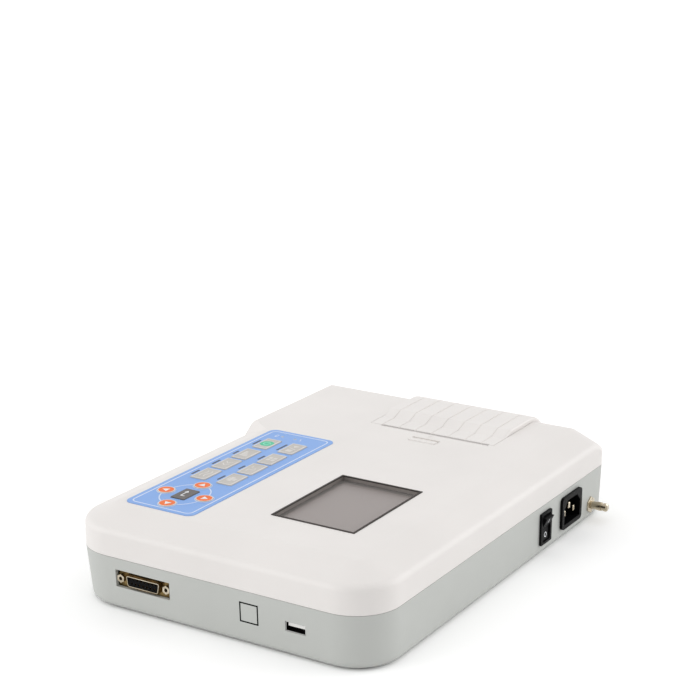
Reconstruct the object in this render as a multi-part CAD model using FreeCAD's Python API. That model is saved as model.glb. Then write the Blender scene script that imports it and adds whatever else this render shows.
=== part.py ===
import FreeCAD, Part
import math
import os

from FreeCAD import Vector

# ECG machine with an 80 mm thermal printer, modelled as it comes apart on a bench.
# Millimetres. X runs to the user's right, Y to the rear, Z up from the table.
# Places are taken from the case's four walls, and the finished part is moved so that
# its origin lies under the middle of its outer box.

# Case
case_width = 315.0
case_depth = 214.5
base_height = 33.1
side_height = 16.4
band_rise = 8.6
band_width = 20.4
plateau_corner_r = 8.1
front_left_r = 5.5
rear_left_cut_x = 9.7
rear_left_cut_y = 19.6
rear_left_cut_r = 5.5
case_wall = 2.5
parting_gap = 0.25
band_edge_r = 5.0
plateau_edge_r = 10.0
front_edge_r = 4.5
base_edge_r = 4.5
front_draft = 3.2
left_draft = 3.2
right_draft = 1.6
lip_height = 1.8
lip_wall = 1.3
lip_gap = 0.25
lip_root = 4.0

# Raised printer end and the slanted facet beside it
facet_top_from_left = 115.1
facet_foot_from_left = 126.8
facet_apex_from_left = 131.5

# Feet
foot_proud = 1.0
foot_r = 6.0
foot_sunk = 1.2
foot_from_side = 28.0
foot_from_end = 24.0

# Case screws and their posts
case_screw_r = 1.5
case_screw_head_r = 2.8
case_screw_head_h = 2.0
case_screw_length = 15.0
case_post_r = 4.2
case_post_cap = 6.0
lid_post_r = 3.6
screw_slack = 0.25
screw_drive_share = 0.7
screw_drive_sunk = 0.6
corner_post_inset = 14.0
left_post_inset = 11.5
rear_left_post_inset = 27.0
middle_post_inset = 10.5
front_post_from_left = 140.0
rear_post_from_left = 202.0

# Small screws for boards and the latch
board_screw_r = 1.25
board_screw_head_r = 2.6
board_screw_head_h = 1.5
board_screw_length = 4.5
standoff_r = 3.0

# Paper door, hinged at its lower left edge
door_from_rear = 47.9
door_gap = 0.4
door_wall = 2.2
door_proud = 3.4
door_edge_r = 1.6
door_crown_from_end = 25.8
door_flush_from_end = 16.3
door_groove_count = 7
door_groove_pitch = 12.55
door_groove_from_rear = 9.3
door_groove_width = 1.2
door_groove_depth = 0.3
door_skirt = 2.4
door_skirt_wall = 2.0
barrel_r = 2.8
hinge_pin_r = 1.2
hinge_pin_length = 12.0
hinge_boss_wall = 1.8
running_gap = 0.05

# Paper and its bin
paper_width = 80.0
paper_side_gap = 1.0
roll_r = 23.0
core_r = 8.0
core_bore_r = 6.3
spindle_gap = 0.1
journal_r = 2.5
journal_gap = 0.1
bin_gap = 1.5
bin_wall = 1.5
bin_end_wall = 1.8
bin_from_hinge = 4.7
bin_end_clear = 1.1
bin_rim_under_plateau = 13.0
bin_leg_half = 12.0
slot_in_door = 1.0
slot_in_lid = 2.0

# Printer
platen_r = 5.0
platen_shaft_r = 2.0
platen_gear_clear = 0.8
cheek_wall = 2.0
cheek_gap = 0.6
cheek_half = 5.0
cheek_drop = 4.5
gear_module = 0.6
gear_dedendum_share = 1.25
gear_width = 2.4
gear_gap = 0.4
gear_backlash = 0.2
gear_pressure_deg = 20.0
platen_teeth = 20
idler_teeth = 25
pinion_teeth = 10
idler_stud_r = 1.5
motor_r = 8.0
motor_length = 18.0
motor_shaft_r = 1.0
motor_shaft_depth = 9.0
motor_clear = 0.9
motor_nose_r = 5.0
head_gap = 0.3
head_thick = 2.5
head_drop = 16.0
head_under_plateau = 5.6
head_bump_r = 1.2
frame_wall = 1.6
frame_left_of_platen = 10.0
frame_from_bin = 2.7

# Latch
latch_from_door_end = 14.75
thumb_width = 4.4
thumb_length = 20.0
thumb_proud = 0.6
latch_travel = 3.0
latch_gap = 0.3
latch_frame_wall = 1.0
slide_thick = 2.0
slide_length = 20.0
slide_tab = 2.0
hook_width = 2.4
hook_from_gear = 1.3
hook_thick = 2.4
hook_clear = 2.2
hook_nose = 0.4
catch_thick = 2.4
catch_toe = 1.5
catch_from_platen = 3.0
guide_post_wall = 0.5
guide_from_thumb = 8.0
latch_spring_r = 2.5
latch_spring_wire = 0.6
latch_spring_length = 8.0
latch_spring_turns = 7

# Display
display_width = 80.6
display_depth = 57.5
display_from_right = 52.5
display_from_rear = 44.55
bezel_wall = 1.0
bezel_slack = 0.1
bezel_sunk = 0.2
window_rim = 4.0
window_thick = 1.2
lcd_rim = 3.0
lcd_thick = 3.4

# Keypad
pad_side_margin = 5.35
pad_end_margin = 5.0
pad_from_right = 24.7
pad_from_front = 24.85
pad_corner_r = 5.2
pad_thick = 0.8
pad_sunk = 0.5
pad_slack = 0.15
key_width = 19.2
key_depth = 11.3
key_corner_r = 0.8
first_key_from_left = 19.1
key_column_gaps = [4.7, 2.7, 3.0]
key_row_pitch = 19.9
key_row_shift = -0.6
key_proud = 0.5
key_slack = 0.25
key_flange = 1.0
key_flange_thick = 0.8
key_flange_gap = 0.15
key_travel = 0.6
key_edge = 0.3
arrow_r = 5.3
arrow_reach_x = 17.9
arrow_reach_y = 14.3
set_width = 16.8
set_depth = 10.2
cluster_from_keys = 3.2
lamp_r = 1.1
lamp_from_left = 10.4
lamp_rows = [-0.55, -10.35]
lamp_flange = 0.7
mat_thick = 1.0
key_post_r = 2.0
key_board_margin = 1.5
mat_dome_r = 3.5
mat_dome_top_r = 2.4
mat_dome_h = 1.4
mat_gap = 0.25
board_thick = 1.6

# Lead socket, a fifteen way D connector in the right wall
socket_from_front = 56.45
socket_height = 20.1
socket_screw_pitch = 33.32
socket_flange_width = 39.14
socket_flange_height = 12.55
socket_flange_thick = 0.8
socket_cut_slack = 0.23
socket_cut_height = 11.0
socket_d_width = 25.0
socket_d_height = 8.3
socket_d_slant = 1.45
socket_d_r = 1.6
socket_d_wall = 0.45
socket_d_sunk = 0.3
socket_flange_sunk = 3.2
socket_body_depth = 9.0
socket_hole_r = 0.7
socket_contact_r = 0.6
socket_contact_bore_r = 0.35
socket_contact_sunk = 0.8
socket_pitch = 2.77
socket_row = 1.42
socket_top_ways = 8
socket_low_ways = 7
jack_hex = 4.75
jack_height = 2.6
jack_hole_r = 1.2
jack_hole_depth = 6.0
jack_stem_r = 1.6
jack_stem_length = 6.0

# USB socket and blanking plug in the right wall
usb_from_rear = 51.05
usb_height = 18.2
usb_width = 13.2
usb_tall = 5.7
usb_wall = 0.3
usb_depth = 14.0
usb_sunk = 0.3
usb_slack = 0.25
usb_tongue_width = 11.1
usb_tongue_thick = 1.84
usb_tongue_sunk = 1.2
usb_block_depth = 4.0
blank_from_rear = 82.45
blank_height = 19.7
blank_width = 11.4
blank_tall = 11.1
blank_gap = 0.7
blank_thick = 1.4
blank_flange = 1.2

# Mains switch in the rear wall
rocker_from_left = 101.0
rocker_height = 17.6
rocker_paddle_width = 10.3
rocker_half = 8.2
rocker_side_gap = 0.25
rocker_end_gap = 0.8
rocker_side_wall = 1.1
rocker_end_wall = 0.5
rocker_bezel_rim = 1.15
rocker_bezel_proud = 1.6
rocker_bezel_r = 0.8
rocker_well_depth = 9.0
rocker_back_wall = 7.6
rocker_tilt_deg = 12.0
rocker_end_rise = 3.4
rocker_dip = 1.4
rocker_pivot_sunk = 2.4
rocker_tail = 3.0
rocker_tail_half = 3.2
trunnion_r = 1.2
trunnion_length = 0.8
hole_slack = 0.2

# Mains inlet in the rear wall
inlet_from_left = 62.7
inlet_height = 18.0
inlet_well_width = 24.2
inlet_well_tall = 16.0
inlet_wall = 1.6
inlet_back_wall = 4.0
inlet_bezel_rim = 1.4
inlet_bezel_r = 3.0
inlet_bezel_proud = 2.0
inlet_well_cut = 5.0
inlet_well_depth = 16.0
inlet_blade_wide = 4.0
inlet_blade_thick = 2.0
inlet_blade_length = 14.0
inlet_blade_tail = 5.0
inlet_blade_half_pitch = 7.0
inlet_blade_rise = 2.0

# Equipotential post in the rear wall
earth_from_left = 29.3
earth_height = 9.8
earth_r = 3.0
earth_shank_r = 2.7
earth_proud = 13.0
earth_inside = 8.0
earth_neck_r = 2.4
earth_neck_length = 1.6
earth_barrel = 3.0
earth_tip = 2.8
earth_tip_r = 2.85
earth_tip_edge = 0.8
earth_nut_hex = 10.0
earth_nut_thick = 4.0
earth_washer_r = 5.8
earth_washer_thick = 1.0

# Boards and battery
main_board_under_socket = 0.3
main_board_from_left = 127.5
main_board_from_right = 9.5
main_board_from_front = 23.0
main_board_from_rear = 49.0
board_hole_inset = 5.0
power_board_from_left = 118.0
power_board_length = 70.0
power_board_depth = 28.0
power_board_from_rear = 14.0
power_board_lift = 6.0
transformer_size = 24.0
transformer_tall = 20.0
capacitor_r = 6.0
capacitor_gap = 3.0
capacitor_tall = 18.0
chip_size = 16.0
chip_pitch = 34.0
chip_tall = 1.6
battery_from_left = 39.5
battery_from_front = 12.0
battery_length = 74.0
battery_width = 44.0
battery_tall = 20.0
battery_edge_r = 4.0
battery_gap = 0.4
battery_cover_thick = 2.0
battery_ledge = 2.0
battery_rim = 3.0
battery_rim_height = 3.0

# Levels and walls that follow from the sizes above
left = -case_width / 2
right = case_width / 2
front = -case_depth / 2
rear = case_depth / 2
far = case_width + case_depth
floor_z = foot_proud + case_wall
parting_z = foot_proud + base_height
side_top_z = parting_z + side_height
plateau_z = side_top_z + band_rise
under_lid_z = plateau_z - case_wall
lid_roll_r = plateau_z - parting_z
case_corner_r = plateau_corner_r + band_width

hinge_x = left + barrel_r
hinge_z = parting_z + door_gap + barrel_r
hinge_boss_length = hinge_pin_length / 2 + hinge_boss_wall
crown_z = plateau_z + door_proud
door_roll_r = crown_z - hinge_z
door_y1 = rear - door_from_rear

bin_y1 = door_y1 - bin_end_clear - bin_end_wall
paper_y1 = bin_y1 - paper_side_gap
paper_y0 = paper_y1 - paper_width
paper_y = (paper_y0 + paper_y1) / 2
bin_y0 = paper_y0 - paper_side_gap
trough_r = roll_r + bin_gap
bin_r = trough_r + bin_wall
roll_x = left + 2 * barrel_r + bin_from_hinge + bin_r
roll_z = floor_z + bin_r
bin_top_z = plateau_z - bin_rim_under_plateau

frame_x0 = roll_x + bin_r + frame_from_bin
platen_x = frame_x0 + frame_left_of_platen
platen_z = plateau_z - door_wall - platen_gear_clear - gear_module * (platen_teeth / 2 + 1)
front_cheek_y1 = paper_y0 - cheek_gap
front_cheek_y0 = front_cheek_y1 - cheek_wall
rear_cheek_y0 = paper_y1 + cheek_gap
rear_cheek_y1 = rear_cheek_y0 + cheek_wall
gear_y1 = front_cheek_y0 - gear_gap
gear_y0 = gear_y1 - gear_width
frame_y1 = front_cheek_y1
frame_y0 = frame_y1 - frame_wall
head_x0 = platen_x + platen_r + head_gap
door_end = head_x0 + slot_in_door
head_x1 = head_x0 + head_thick
head_z1 = plateau_z - head_under_plateau
head_z0 = head_z1 - head_drop
frame_x1 = head_x1 + frame_wall

latch_x = door_end + latch_from_door_end
well_half_x = (thumb_width + latch_travel) / 2 + latch_gap
thumb_x1 = latch_x + well_half_x - latch_gap
thumb_x0 = thumb_x1 - thumb_width
spring_x0 = latch_x + slide_length / 2
spring_x1 = spring_x0 + latch_spring_length
slide_z1 = under_lid_z - latch_gap
slide_z0 = slide_z1 - slide_thick
hook_y1 = gear_y0 - hook_from_gear
hook_y0 = hook_y1 - hook_width
door_y0 = hook_y0 - latch_gap
guide_post_r = board_screw_r + guide_post_wall
toe_x1 = platen_x - catch_from_platen
toe_x0 = toe_x1 - catch_toe
toe_z0 = platen_z - catch_from_platen

display_x1 = right - display_from_right
display_x0 = display_x1 - display_width
display_y1 = rear - display_from_rear
display_y0 = display_y1 - display_depth

pad_rim = min(pad_end_margin, pad_side_margin) - key_flange - 2 * key_slack
cluster_half = arrow_reach_x + arrow_r
keys_length = len(key_column_gaps) * key_width + key_width + sum(key_column_gaps)
pad_width = first_key_from_left + keys_length + cluster_from_keys + 2 * cluster_half + pad_end_margin
pad_x1 = right - pad_from_right
pad_x0 = pad_x1 - pad_width
pad_y0 = front + pad_from_front
pad_y = pad_y0 + pad_side_margin + arrow_r + arrow_reach_y
pad_y1 = 2 * pad_y - pad_y0
cluster_x = pad_x1 - pad_end_margin - cluster_half
pad_z0 = plateau_z - pad_sunk
pad_z1 = pad_z0 + pad_thick
key_flange_z1 = pad_z0 - key_flange_gap
key_flange_z0 = key_flange_z1 - key_flange_thick
dome_z = key_flange_z0 - key_travel - mat_gap
mat_z1 = dome_z - mat_dome_h
key_board_z1 = mat_z1 - mat_thick
key_board_z0 = key_board_z1 - board_thick

socket_y = front + socket_from_front
socket_z = foot_proud + socket_height
usb_y = rear - usb_from_rear
usb_z = foot_proud + usb_height
blank_y = rear - blank_from_rear
blank_z = foot_proud + blank_height
rocker_x = left + rocker_from_left
rocker_z = foot_proud + rocker_height
rocker_well_width = rocker_paddle_width + 2 * rocker_side_gap
rocker_well_tall = 2 * (rocker_half + rocker_end_gap)
rocker_body_width = rocker_well_width + 2 * rocker_side_wall
rocker_body_tall = rocker_well_tall + 2 * rocker_end_wall
inlet_x = left + inlet_from_left
inlet_z = foot_proud + inlet_height
inlet_body_width = inlet_well_width + 2 * inlet_wall
inlet_body_tall = inlet_well_tall + 2 * inlet_wall
earth_x = left + earth_from_left
earth_z = foot_proud + earth_height

main_board_z1 = socket_z - socket_flange_height / 2 - main_board_under_socket
main_board_z0 = main_board_z1 - board_thick
main_x0 = left + main_board_from_left
main_x1 = right - main_board_from_right
main_y0 = front + main_board_from_front
main_y1 = rear - main_board_from_rear
power_x0 = left + power_board_from_left
power_x1 = power_x0 + power_board_length
power_y1 = rear - power_board_from_rear
power_y0 = power_y1 - power_board_depth
power_z0 = floor_z + power_board_lift
power_z1 = power_z0 + board_thick
battery_x0 = left + battery_from_left
battery_x1 = battery_x0 + battery_length
battery_y0 = front + battery_from_front
battery_y1 = battery_y0 + battery_width

case_posts = [
    (right - corner_post_inset, front + corner_post_inset),
    (right - corner_post_inset, rear - corner_post_inset),
    (left + left_post_inset, front + left_post_inset),
    (left + left_post_inset, rear - rear_left_post_inset),
    (left + front_post_from_left, front + middle_post_inset),
    (left + rear_post_from_left, rear - middle_post_inset),
]

origin_shift = Vector(0, -earth_proud / 2, 0)


# Small helpers

def box(x0, x1, y0, y1, z0, z1):
    return Part.makeBox(x1 - x0, y1 - y0, z1 - z0, Vector(x0, y0, z0))


def rod(radius, start, end):
    start, end = Vector(*start), Vector(*end)
    return Part.makeCylinder(radius, (end - start).Length, start, end - start)


def ring(outer, inner, start, end):
    return rod(outer, start, end).cut(rod(inner, start, end))


def x_rod(radius, y, z, x0, x1):
    return rod(radius, (x0, y, z), (x1, y, z))


def y_rod(radius, x, z, y0, y1):
    return rod(radius, (x, y0, z), (x, y1, z))


def z_rod(radius, x, y, z0, z1):
    return rod(radius, (x, y, z0), (x, y, z1))


def y_ring(outer, inner, x, z, y0, y1):
    return ring(outer, inner, (x, y0, z), (x, y1, z))


def side_box(y, z, width, tall, x0, x1):
    """Box through a side wall, centred on a place seen along X."""
    return box(x0, x1, y - width / 2, y + width / 2, z - tall / 2, z + tall / 2)


def end_box(x, z, width, tall, y0, y1):
    """Box through the rear wall, centred on a place seen along Y."""
    return box(x - width / 2, x + width / 2, y0, y1, z - tall / 2, z + tall / 2)


def level_box(x, y, width, depth, z0, z1):
    """Box centred on a place seen from above."""
    return box(x - width / 2, x + width / 2, y - depth / 2, y + depth / 2, z0, z1)


def joined(shapes):
    return shapes[0].fuse(shapes[1:]).removeSplitter() if len(shapes) > 1 else shapes[0]


def corner_points(before, corner, after, radius):
    to_before = (before - corner).normalize()
    to_after = (after - corner).normalize()
    half = to_before.getAngle(to_after) / 2
    reach = radius / math.tan(half)
    middle = corner + (to_before + to_after).normalize() * (radius / math.sin(half) - radius)
    return corner + to_before * reach, middle, corner + to_after * reach


def rounded_wire(corners):
    """Closed wire through corners, each a point with the radius of its round."""
    count = len(corners)
    arcs = []
    for i, (point, radius) in enumerate(corners):
        before, after = corners[i - 1][0], corners[(i + 1) % count][0]
        if radius > 0:
            arcs.append(corner_points(before, point, after, radius))
        else:
            arcs.append((point, None, point))
    edges = []
    for i, (start, middle, end) in enumerate(arcs):
        if middle is not None:
            edges.append(Part.Arc(start, middle, end).toShape())
        edges.append(Part.LineSegment(end, arcs[(i + 1) % count][0]).toShape())
    return Part.Wire(edges)


def flat_corners(points, z):
    return [(Vector(x, y, z), r) for x, y, r in points]


def rounded_block(x0, x1, y0, y1, z0, z1, radius):
    corners = [(x1, y1, radius), (x0, y1, radius), (x0, y0, radius), (x1, y0, radius)]
    face = Part.Face(rounded_wire(flat_corners(corners, z0)))
    return face.extrude(Vector(0, 0, z1 - z0))


def end_block(x, z, width, tall, y0, y1, radius):
    """Block with rounded corners, centred on a place seen along Y."""
    half, high = width / 2, tall / 2
    corners = [(half, high), (-half, high), (-half, -high), (half, -high)]
    wire = rounded_wire([(Vector(x + dx, y0, z + dz), radius) for dx, dz in corners])
    return Part.Face(wire).extrude(Vector(0, y1 - y0, 0))


def hexagon(across, start, length, direction):
    flat = Part.makePolygon([
        Vector(math.cos(math.radians(60 * i)), math.sin(math.radians(60 * i)), 0)
        * (across / math.sqrt(3)) for i in range(7)])
    solid = Part.Face(flat).extrude(Vector(0, 0, length))
    turn = FreeCAD.Rotation(Vector(0, 0, 1), Vector(*direction))
    solid.Placement = FreeCAD.Placement(Vector(*start), turn)
    return solid


def screw(seat, direction, radius, head_r, head_h, length):
    """Pan head screw whose head sits on the seat and whose shank runs along direction."""
    seat, along = Vector(*seat), Vector(*direction)
    shank = Part.makeCylinder(radius, length, seat, along)
    head = Part.makeCylinder(head_r, head_h, seat - along * head_h, along)
    drive = Part.makeCylinder(
        radius * screw_drive_share, head_h * screw_drive_sunk, seat - along * head_h, along)
    return shank.fuse(head).removeSplitter().cut(drive)


def small_screw(seat, direction):
    return screw(seat, direction, board_screw_r, board_screw_head_r, board_screw_head_h,
                 board_screw_length)


def export(name, shape):
    solids = shape.Solids
    shape = solids[0] if len(solids) == 1 else Part.makeCompound(solids)
    if not shape.isValid():
        print("check", name, "is not valid")
    shape.translate(origin_shift)
    shape.exportStep("parts/" + name + ".step")
    print(name, len(solids), round(shape.Volume, 1))


# Case forms

def plan_corners(inset, drafts=(0, 0, 0, 0)):
    """Case outline drawn in by inset, with extra draft on the right, rear, left and front."""
    x1, y1 = right - inset - drafts[0], rear - inset - drafts[1]
    x0, y0 = left + inset + drafts[2], front + inset + drafts[3]
    slant = math.hypot(rear_left_cut_x, rear_left_cut_y)
    cut_x = ((rear_left_cut_y - inset) * rear_left_cut_x + inset * slant) / rear_left_cut_y - inset
    cut_y = rear_left_cut_y - inset - (inset * rear_left_cut_y - inset * slant) / rear_left_cut_x
    return [
        (x1, y1, case_corner_r - inset),
        (x0 + cut_x, y1, max(rear_left_cut_r - inset, rear_left_cut_r / 4)),
        (x0, y1 - cut_y, max(rear_left_cut_r - inset, rear_left_cut_r / 4)),
        (x0, y0, max(front_left_r - inset, front_left_r / 4)),
        (x1, y0, case_corner_r - inset),
    ]


def edge_at(shape, place):
    return min(shape.Edges, key=lambda edge: (edge.CenterOfMass - place).Length)


def tray_form(inset, z0, z1):
    """Tray with flat drafted walls, drawn in by inset, its upright corners rounded."""
    levels = []
    for z in (z0, z1):
        share = (parting_z - z) / base_height
        drafts = [draft * share for draft in (right_draft, 0, left_draft, front_draft)]
        levels.append(flat_corners(plan_corners(inset, drafts), z))
    lower, upper = [[point for point, radius in level] for level in levels]
    outlines = [lower[::-1], upper]
    for i in range(len(lower)):
        outlines.append([lower[i - 1], lower[i], upper[i], upper[i - 1]])
    faces = [Part.Face(Part.makePolygon(outline + outline[:1])) for outline in outlines]
    body = Part.Solid(Part.Shell(faces))
    for (low, radius), high in zip(levels[0], upper):
        body = body.makeFillet(radius, [edge_at(body, (low + high) / 2)])
    return body


def plan_prism(inset, z0, z1):
    face = Part.Face(rounded_wire(flat_corners(plan_corners(inset), z0)))
    return face.extrude(Vector(0, 0, z1 - z0))


def right_wall_x(z):
    return right - right_draft * (parting_z - z) / base_height


def facet_x(y, z, inset):
    """Where the slanted facet beside the printer end stands at a place on the lid."""
    top = Vector(left + facet_top_from_left, front, plateau_z)
    along = Vector(facet_apex_from_left - facet_top_from_left, band_width, 0)
    down = Vector(facet_foot_from_left - facet_top_from_left, 0, -band_rise)
    normal = down.cross(along).normalize()
    if normal.x < 0:
        normal = normal * -1
    return top.x - (inset + normal.y * (y - top.y) + normal.z * (z - top.z)) / normal.x


def printer_block(inset, top_z):
    low_z = side_top_z - band_rise
    y0, y1 = front + inset, front + 2 * band_width
    wires = []
    for z in (low_z, top_z):
        wires.append(Part.makePolygon([
            Vector(-far, y0, z), Vector(facet_x(y0, z, inset), y0, z),
            Vector(facet_x(y1, z, inset), y1, z), Vector(-far, y1, z), Vector(-far, y0, z)]))
    return Part.makeLoft(wires, True, True)


def level_edges(shape, z):
    found = []
    for edge in shape.Edges:
        bounds = edge.BoundBox
        flat = abs(bounds.ZMin - z) < 1e-4 and abs(bounds.ZMax - z) < 1e-4
        if flat and bounds.XMax > -far + 1:
            found.append(edge)
    return found


def beyond_roll(inset, edge_y):
    """What lies outside the round left side, level up to edge_y, then down along the rear band."""
    axis = Vector(left + lid_roll_r, edge_y, parting_z)
    low_z, high_z = parting_z - 1, plateau_z + band_rise
    corners = [(-far, low_z), (axis.x, low_z), (axis.x, high_z), (-far, high_z), (-far, low_z)]
    sheet = Part.Face(Part.makePolygon([Vector(x, edge_y, z) for x, z in corners]))
    disc = Part.Face(Part.Wire(Part.makeCircle(lid_roll_r - inset, axis, Vector(0, 1, 0))))
    section = sheet.cut(disc).Faces[0]
    runs = (Vector(0, -2 * far, 0), Vector(0, 2 * band_width, -2 * band_rise))
    return Part.makeCompound([section.extrude(run) for run in runs])


def lid_form(inset, rounded=False):
    """Outer form of the lid, or its hollow when drawn in by the wall."""
    slope = math.atan2(band_rise, band_width)
    top_z = plateau_z - inset
    lowered = inset / math.cos(slope)
    low_z = side_top_z + inset * math.tan(slope) - lowered
    reach = (top_z - side_top_z + lowered) / math.tan(slope)

    def roof_wire(draw_in, z):
        corner = case_corner_r - draw_in
        return rounded_wire(flat_corners([
            (right - draw_in, rear - draw_in, corner), (-far, rear - draw_in, 0),
            (-far, front + draw_in, 0), (right - draw_in, front + draw_in, corner)], z))

    roof = Part.makeLoft(
        [roof_wire(inset, parting_z), roof_wire(inset, low_z), roof_wire(reach, top_z)], True, True)
    block = printer_block(inset, top_z)
    outside = beyond_roll(inset, rear - reach)
    if rounded:
        roof = roof.makeFillet(plateau_edge_r, level_edges(roof, top_z))
    roof = roof.cut(outside)
    if rounded:
        rolled_edge = edge_at(roof, Vector(left + lid_roll_r / 3, rear, side_top_z - band_rise))
        roof = roof.makeFillet(band_edge_r, level_edges(roof, low_z) + [rolled_edge])
        front_edge = [e for e in level_edges(block, top_z)
                      if abs(e.BoundBox.YMin - front) < 1e-4 and abs(e.BoundBox.YMax - front) < 1e-4]
        block = block.makeFillet(front_edge_r, front_edge)
    form = roof.fuse(block.cut(outside)).common(plan_prism(inset, parting_z, plateau_z + band_rise))
    return form.removeSplitter()


lid_outside = lid_form(0, rounded=True)
lid_hollow = lid_form(case_wall)
lid_limit = lid_form(case_wall / 2)


# Gear places: the idler stands where the door's swing lifts the platen gear straight off it

swing_x, swing_z = platen_x - hinge_x, platen_z - hinge_z
swing = math.hypot(swing_x, swing_z)
idler_reach = gear_module * (platen_teeth + idler_teeth) / 2
idler_x = platen_x + swing_z / swing * idler_reach
idler_z = platen_z - swing_x / swing * idler_reach
idler_bearing = math.degrees(math.atan2(idler_z - platen_z, idler_x - platen_x))
idler_first = idler_bearing + 180 + 180 / idler_teeth
pinion_reach = gear_module * (idler_teeth + pinion_teeth) / 2
pinion_x = head_x1 - motor_clear - motor_r
pinion_z = idler_z - math.sqrt(pinion_reach ** 2 - (pinion_x - idler_x) ** 2)
pinion_bearing = math.degrees(math.atan2(pinion_z - idler_z, pinion_x - idler_x))
idler_share = (pinion_bearing - idler_first) * idler_teeth / 360
pinion_first = pinion_bearing + 180 + (idler_share + 0.5) * 360 / pinion_teeth


def gear(teeth, x, z, first_deg, bore):
    """Spur gear with straight flanks, one tooth centred on first_deg, turning about Y."""
    pitch_r = gear_module * teeth / 2
    dedendum = gear_dedendum_share * gear_module
    tip_r, root_r = pitch_r + gear_module, pitch_r - dedendum
    half = (math.pi * gear_module / 2 - gear_backlash) / 2
    flank = math.tan(math.radians(gear_pressure_deg))
    low, high = half + dedendum * flank, half - gear_module * flank
    points = []
    for i in range(teeth):
        middle = math.radians(first_deg) + 2 * math.pi * i / teeth
        for radius, side in ((root_r, -low), (tip_r, -high), (tip_r, high), (root_r, low)):
            angle = middle + side / radius
            points.append(Vector(x + radius * math.cos(angle), gear_y0, z + radius * math.sin(angle)))
    points.append(points[0])
    blank = Part.Face(Part.makePolygon(points)).extrude(Vector(0, gear_width, 0))
    return blank.cut(y_rod(bore, x, z, gear_y0 - 1, gear_y1 + 1))


# Paper door

def door_profile(depth, y0, y1):
    """Solid under the door's outer surface, drawn in by depth, between two places along Y."""
    foot = Vector(left + depth, y0, hinge_z)
    crown = Vector(left + door_roll_r, y0, crown_z - depth)
    line = [
        crown,
        Vector(door_end - door_crown_from_end, y0, crown_z - depth),
        Vector(door_end - door_flush_from_end, y0, plateau_z - depth),
        Vector(door_end, y0, plateau_z - depth),
        Vector(door_end, y0, hinge_z),
        foot,
    ]
    lean = (door_roll_r - depth) * math.sqrt(0.5)
    middle = Vector(left + door_roll_r - lean, y0, hinge_z + lean)
    edges = [Part.Arc(foot, middle, crown).toShape()]
    for start, end in zip(line, line[1:]):
        edges.append(Part.LineSegment(start, end).toShape())
    return Part.Face(Part.Wire(edges)).extrude(Vector(0, y1 - y0, 0))


def raised_end_edges(body):
    """Edges of the raised stretch at both ends of the door."""
    found = []
    for edge in body.Edges:
        bounds = edge.BoundBox
        level = bounds.YLength < 1e-4 and bounds.ZMax > plateau_z + 1e-4
        if level and bounds.XMax < door_end - door_flush_from_end + 1e-4:
            found.append(edge)
    return found


def make_paper_door():
    body = door_profile(0, door_y0, door_y1)
    body = body.makeFillet(door_edge_r, raised_end_edges(body))
    skin = body.cut(door_profile(door_wall, door_y0 - 1, door_y1 + 1))
    under_z = plateau_z - door_wall
    skin = skin.cut(box(hinge_x, door_end + 1, door_y0 - 1, door_y1 + 1, hinge_z - 1, hinge_z))
    grooves = []
    for i in range(door_groove_count):
        y = door_y1 - door_groove_from_rear - i * door_groove_pitch
        band = (y - door_groove_width / 2, y + door_groove_width / 2)
        grooves.append(door_profile(-1, *band).cut(door_profile(door_groove_depth, *band)))
    skin = skin.cut(Part.makeCompound(grooves))

    ends = [box(hinge_x, door_end - door_flush_from_end, y, y + door_skirt_wall, hinge_z, crown_z + 1)
            for y in (door_y0, door_y1 - door_skirt_wall)]
    skirts = body.common(Part.makeCompound(ends))
    skirts = skirts.cut(door_profile(door_wall + door_skirt, door_y0 - 1, door_y1 + 1))
    root_z = under_z + door_wall / 4
    parts = [skin, skirts, y_rod(barrel_r, hinge_x, hinge_z, door_y0, door_y1)]
    for y0, y1 in ((front_cheek_y0, front_cheek_y1), (rear_cheek_y0, rear_cheek_y1)):
        parts.append(box(platen_x - cheek_half, platen_x + cheek_half, y0, y1, platen_z - cheek_drop, root_z))
    parts.append(box(toe_x1, toe_x1 + catch_thick, hook_y0, hook_y1, toe_z0, root_z))
    parts.append(box(toe_x0, toe_x1, hook_y0, hook_y1, toe_z0, toe_z0 + catch_thick))

    cuts = [
        box(door_end - slot_in_door, door_end + 1, bin_y0, bin_y1, hinge_z, plateau_z + 1),
        y_rod(platen_shaft_r + running_gap, platen_x, platen_z, gear_y0, door_y1),
    ]
    reach = hinge_pin_length / 2
    for y in (door_y0, door_y1):
        cuts.append(y_rod(hinge_pin_r + running_gap, hinge_x, hinge_z, y - reach, y + reach))
    return joined(parts).cut(Part.makeCompound(cuts))


# Lid

def key_board_posts():
    inset = pad_rim - key_post_r - pad_slack
    return [(x, y) for x in (pad_x0 + inset, pad_x1 - inset) for y in (pad_y0 + inset, pad_y1 - inset)]


def latch_posts():
    reach = thumb_length / 2 + latch_frame_wall + guide_from_thumb
    return [(latch_x, paper_y - reach), (latch_x, paper_y + reach)]


def latch_well(grow, z0, z1):
    half_x, half_y = well_half_x + grow, thumb_length / 2 + latch_gap + grow
    return rounded_block(latch_x - half_x, latch_x + half_x, paper_y - half_y, paper_y + half_y,
                         z0, z1, latch_frame_wall)


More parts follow.
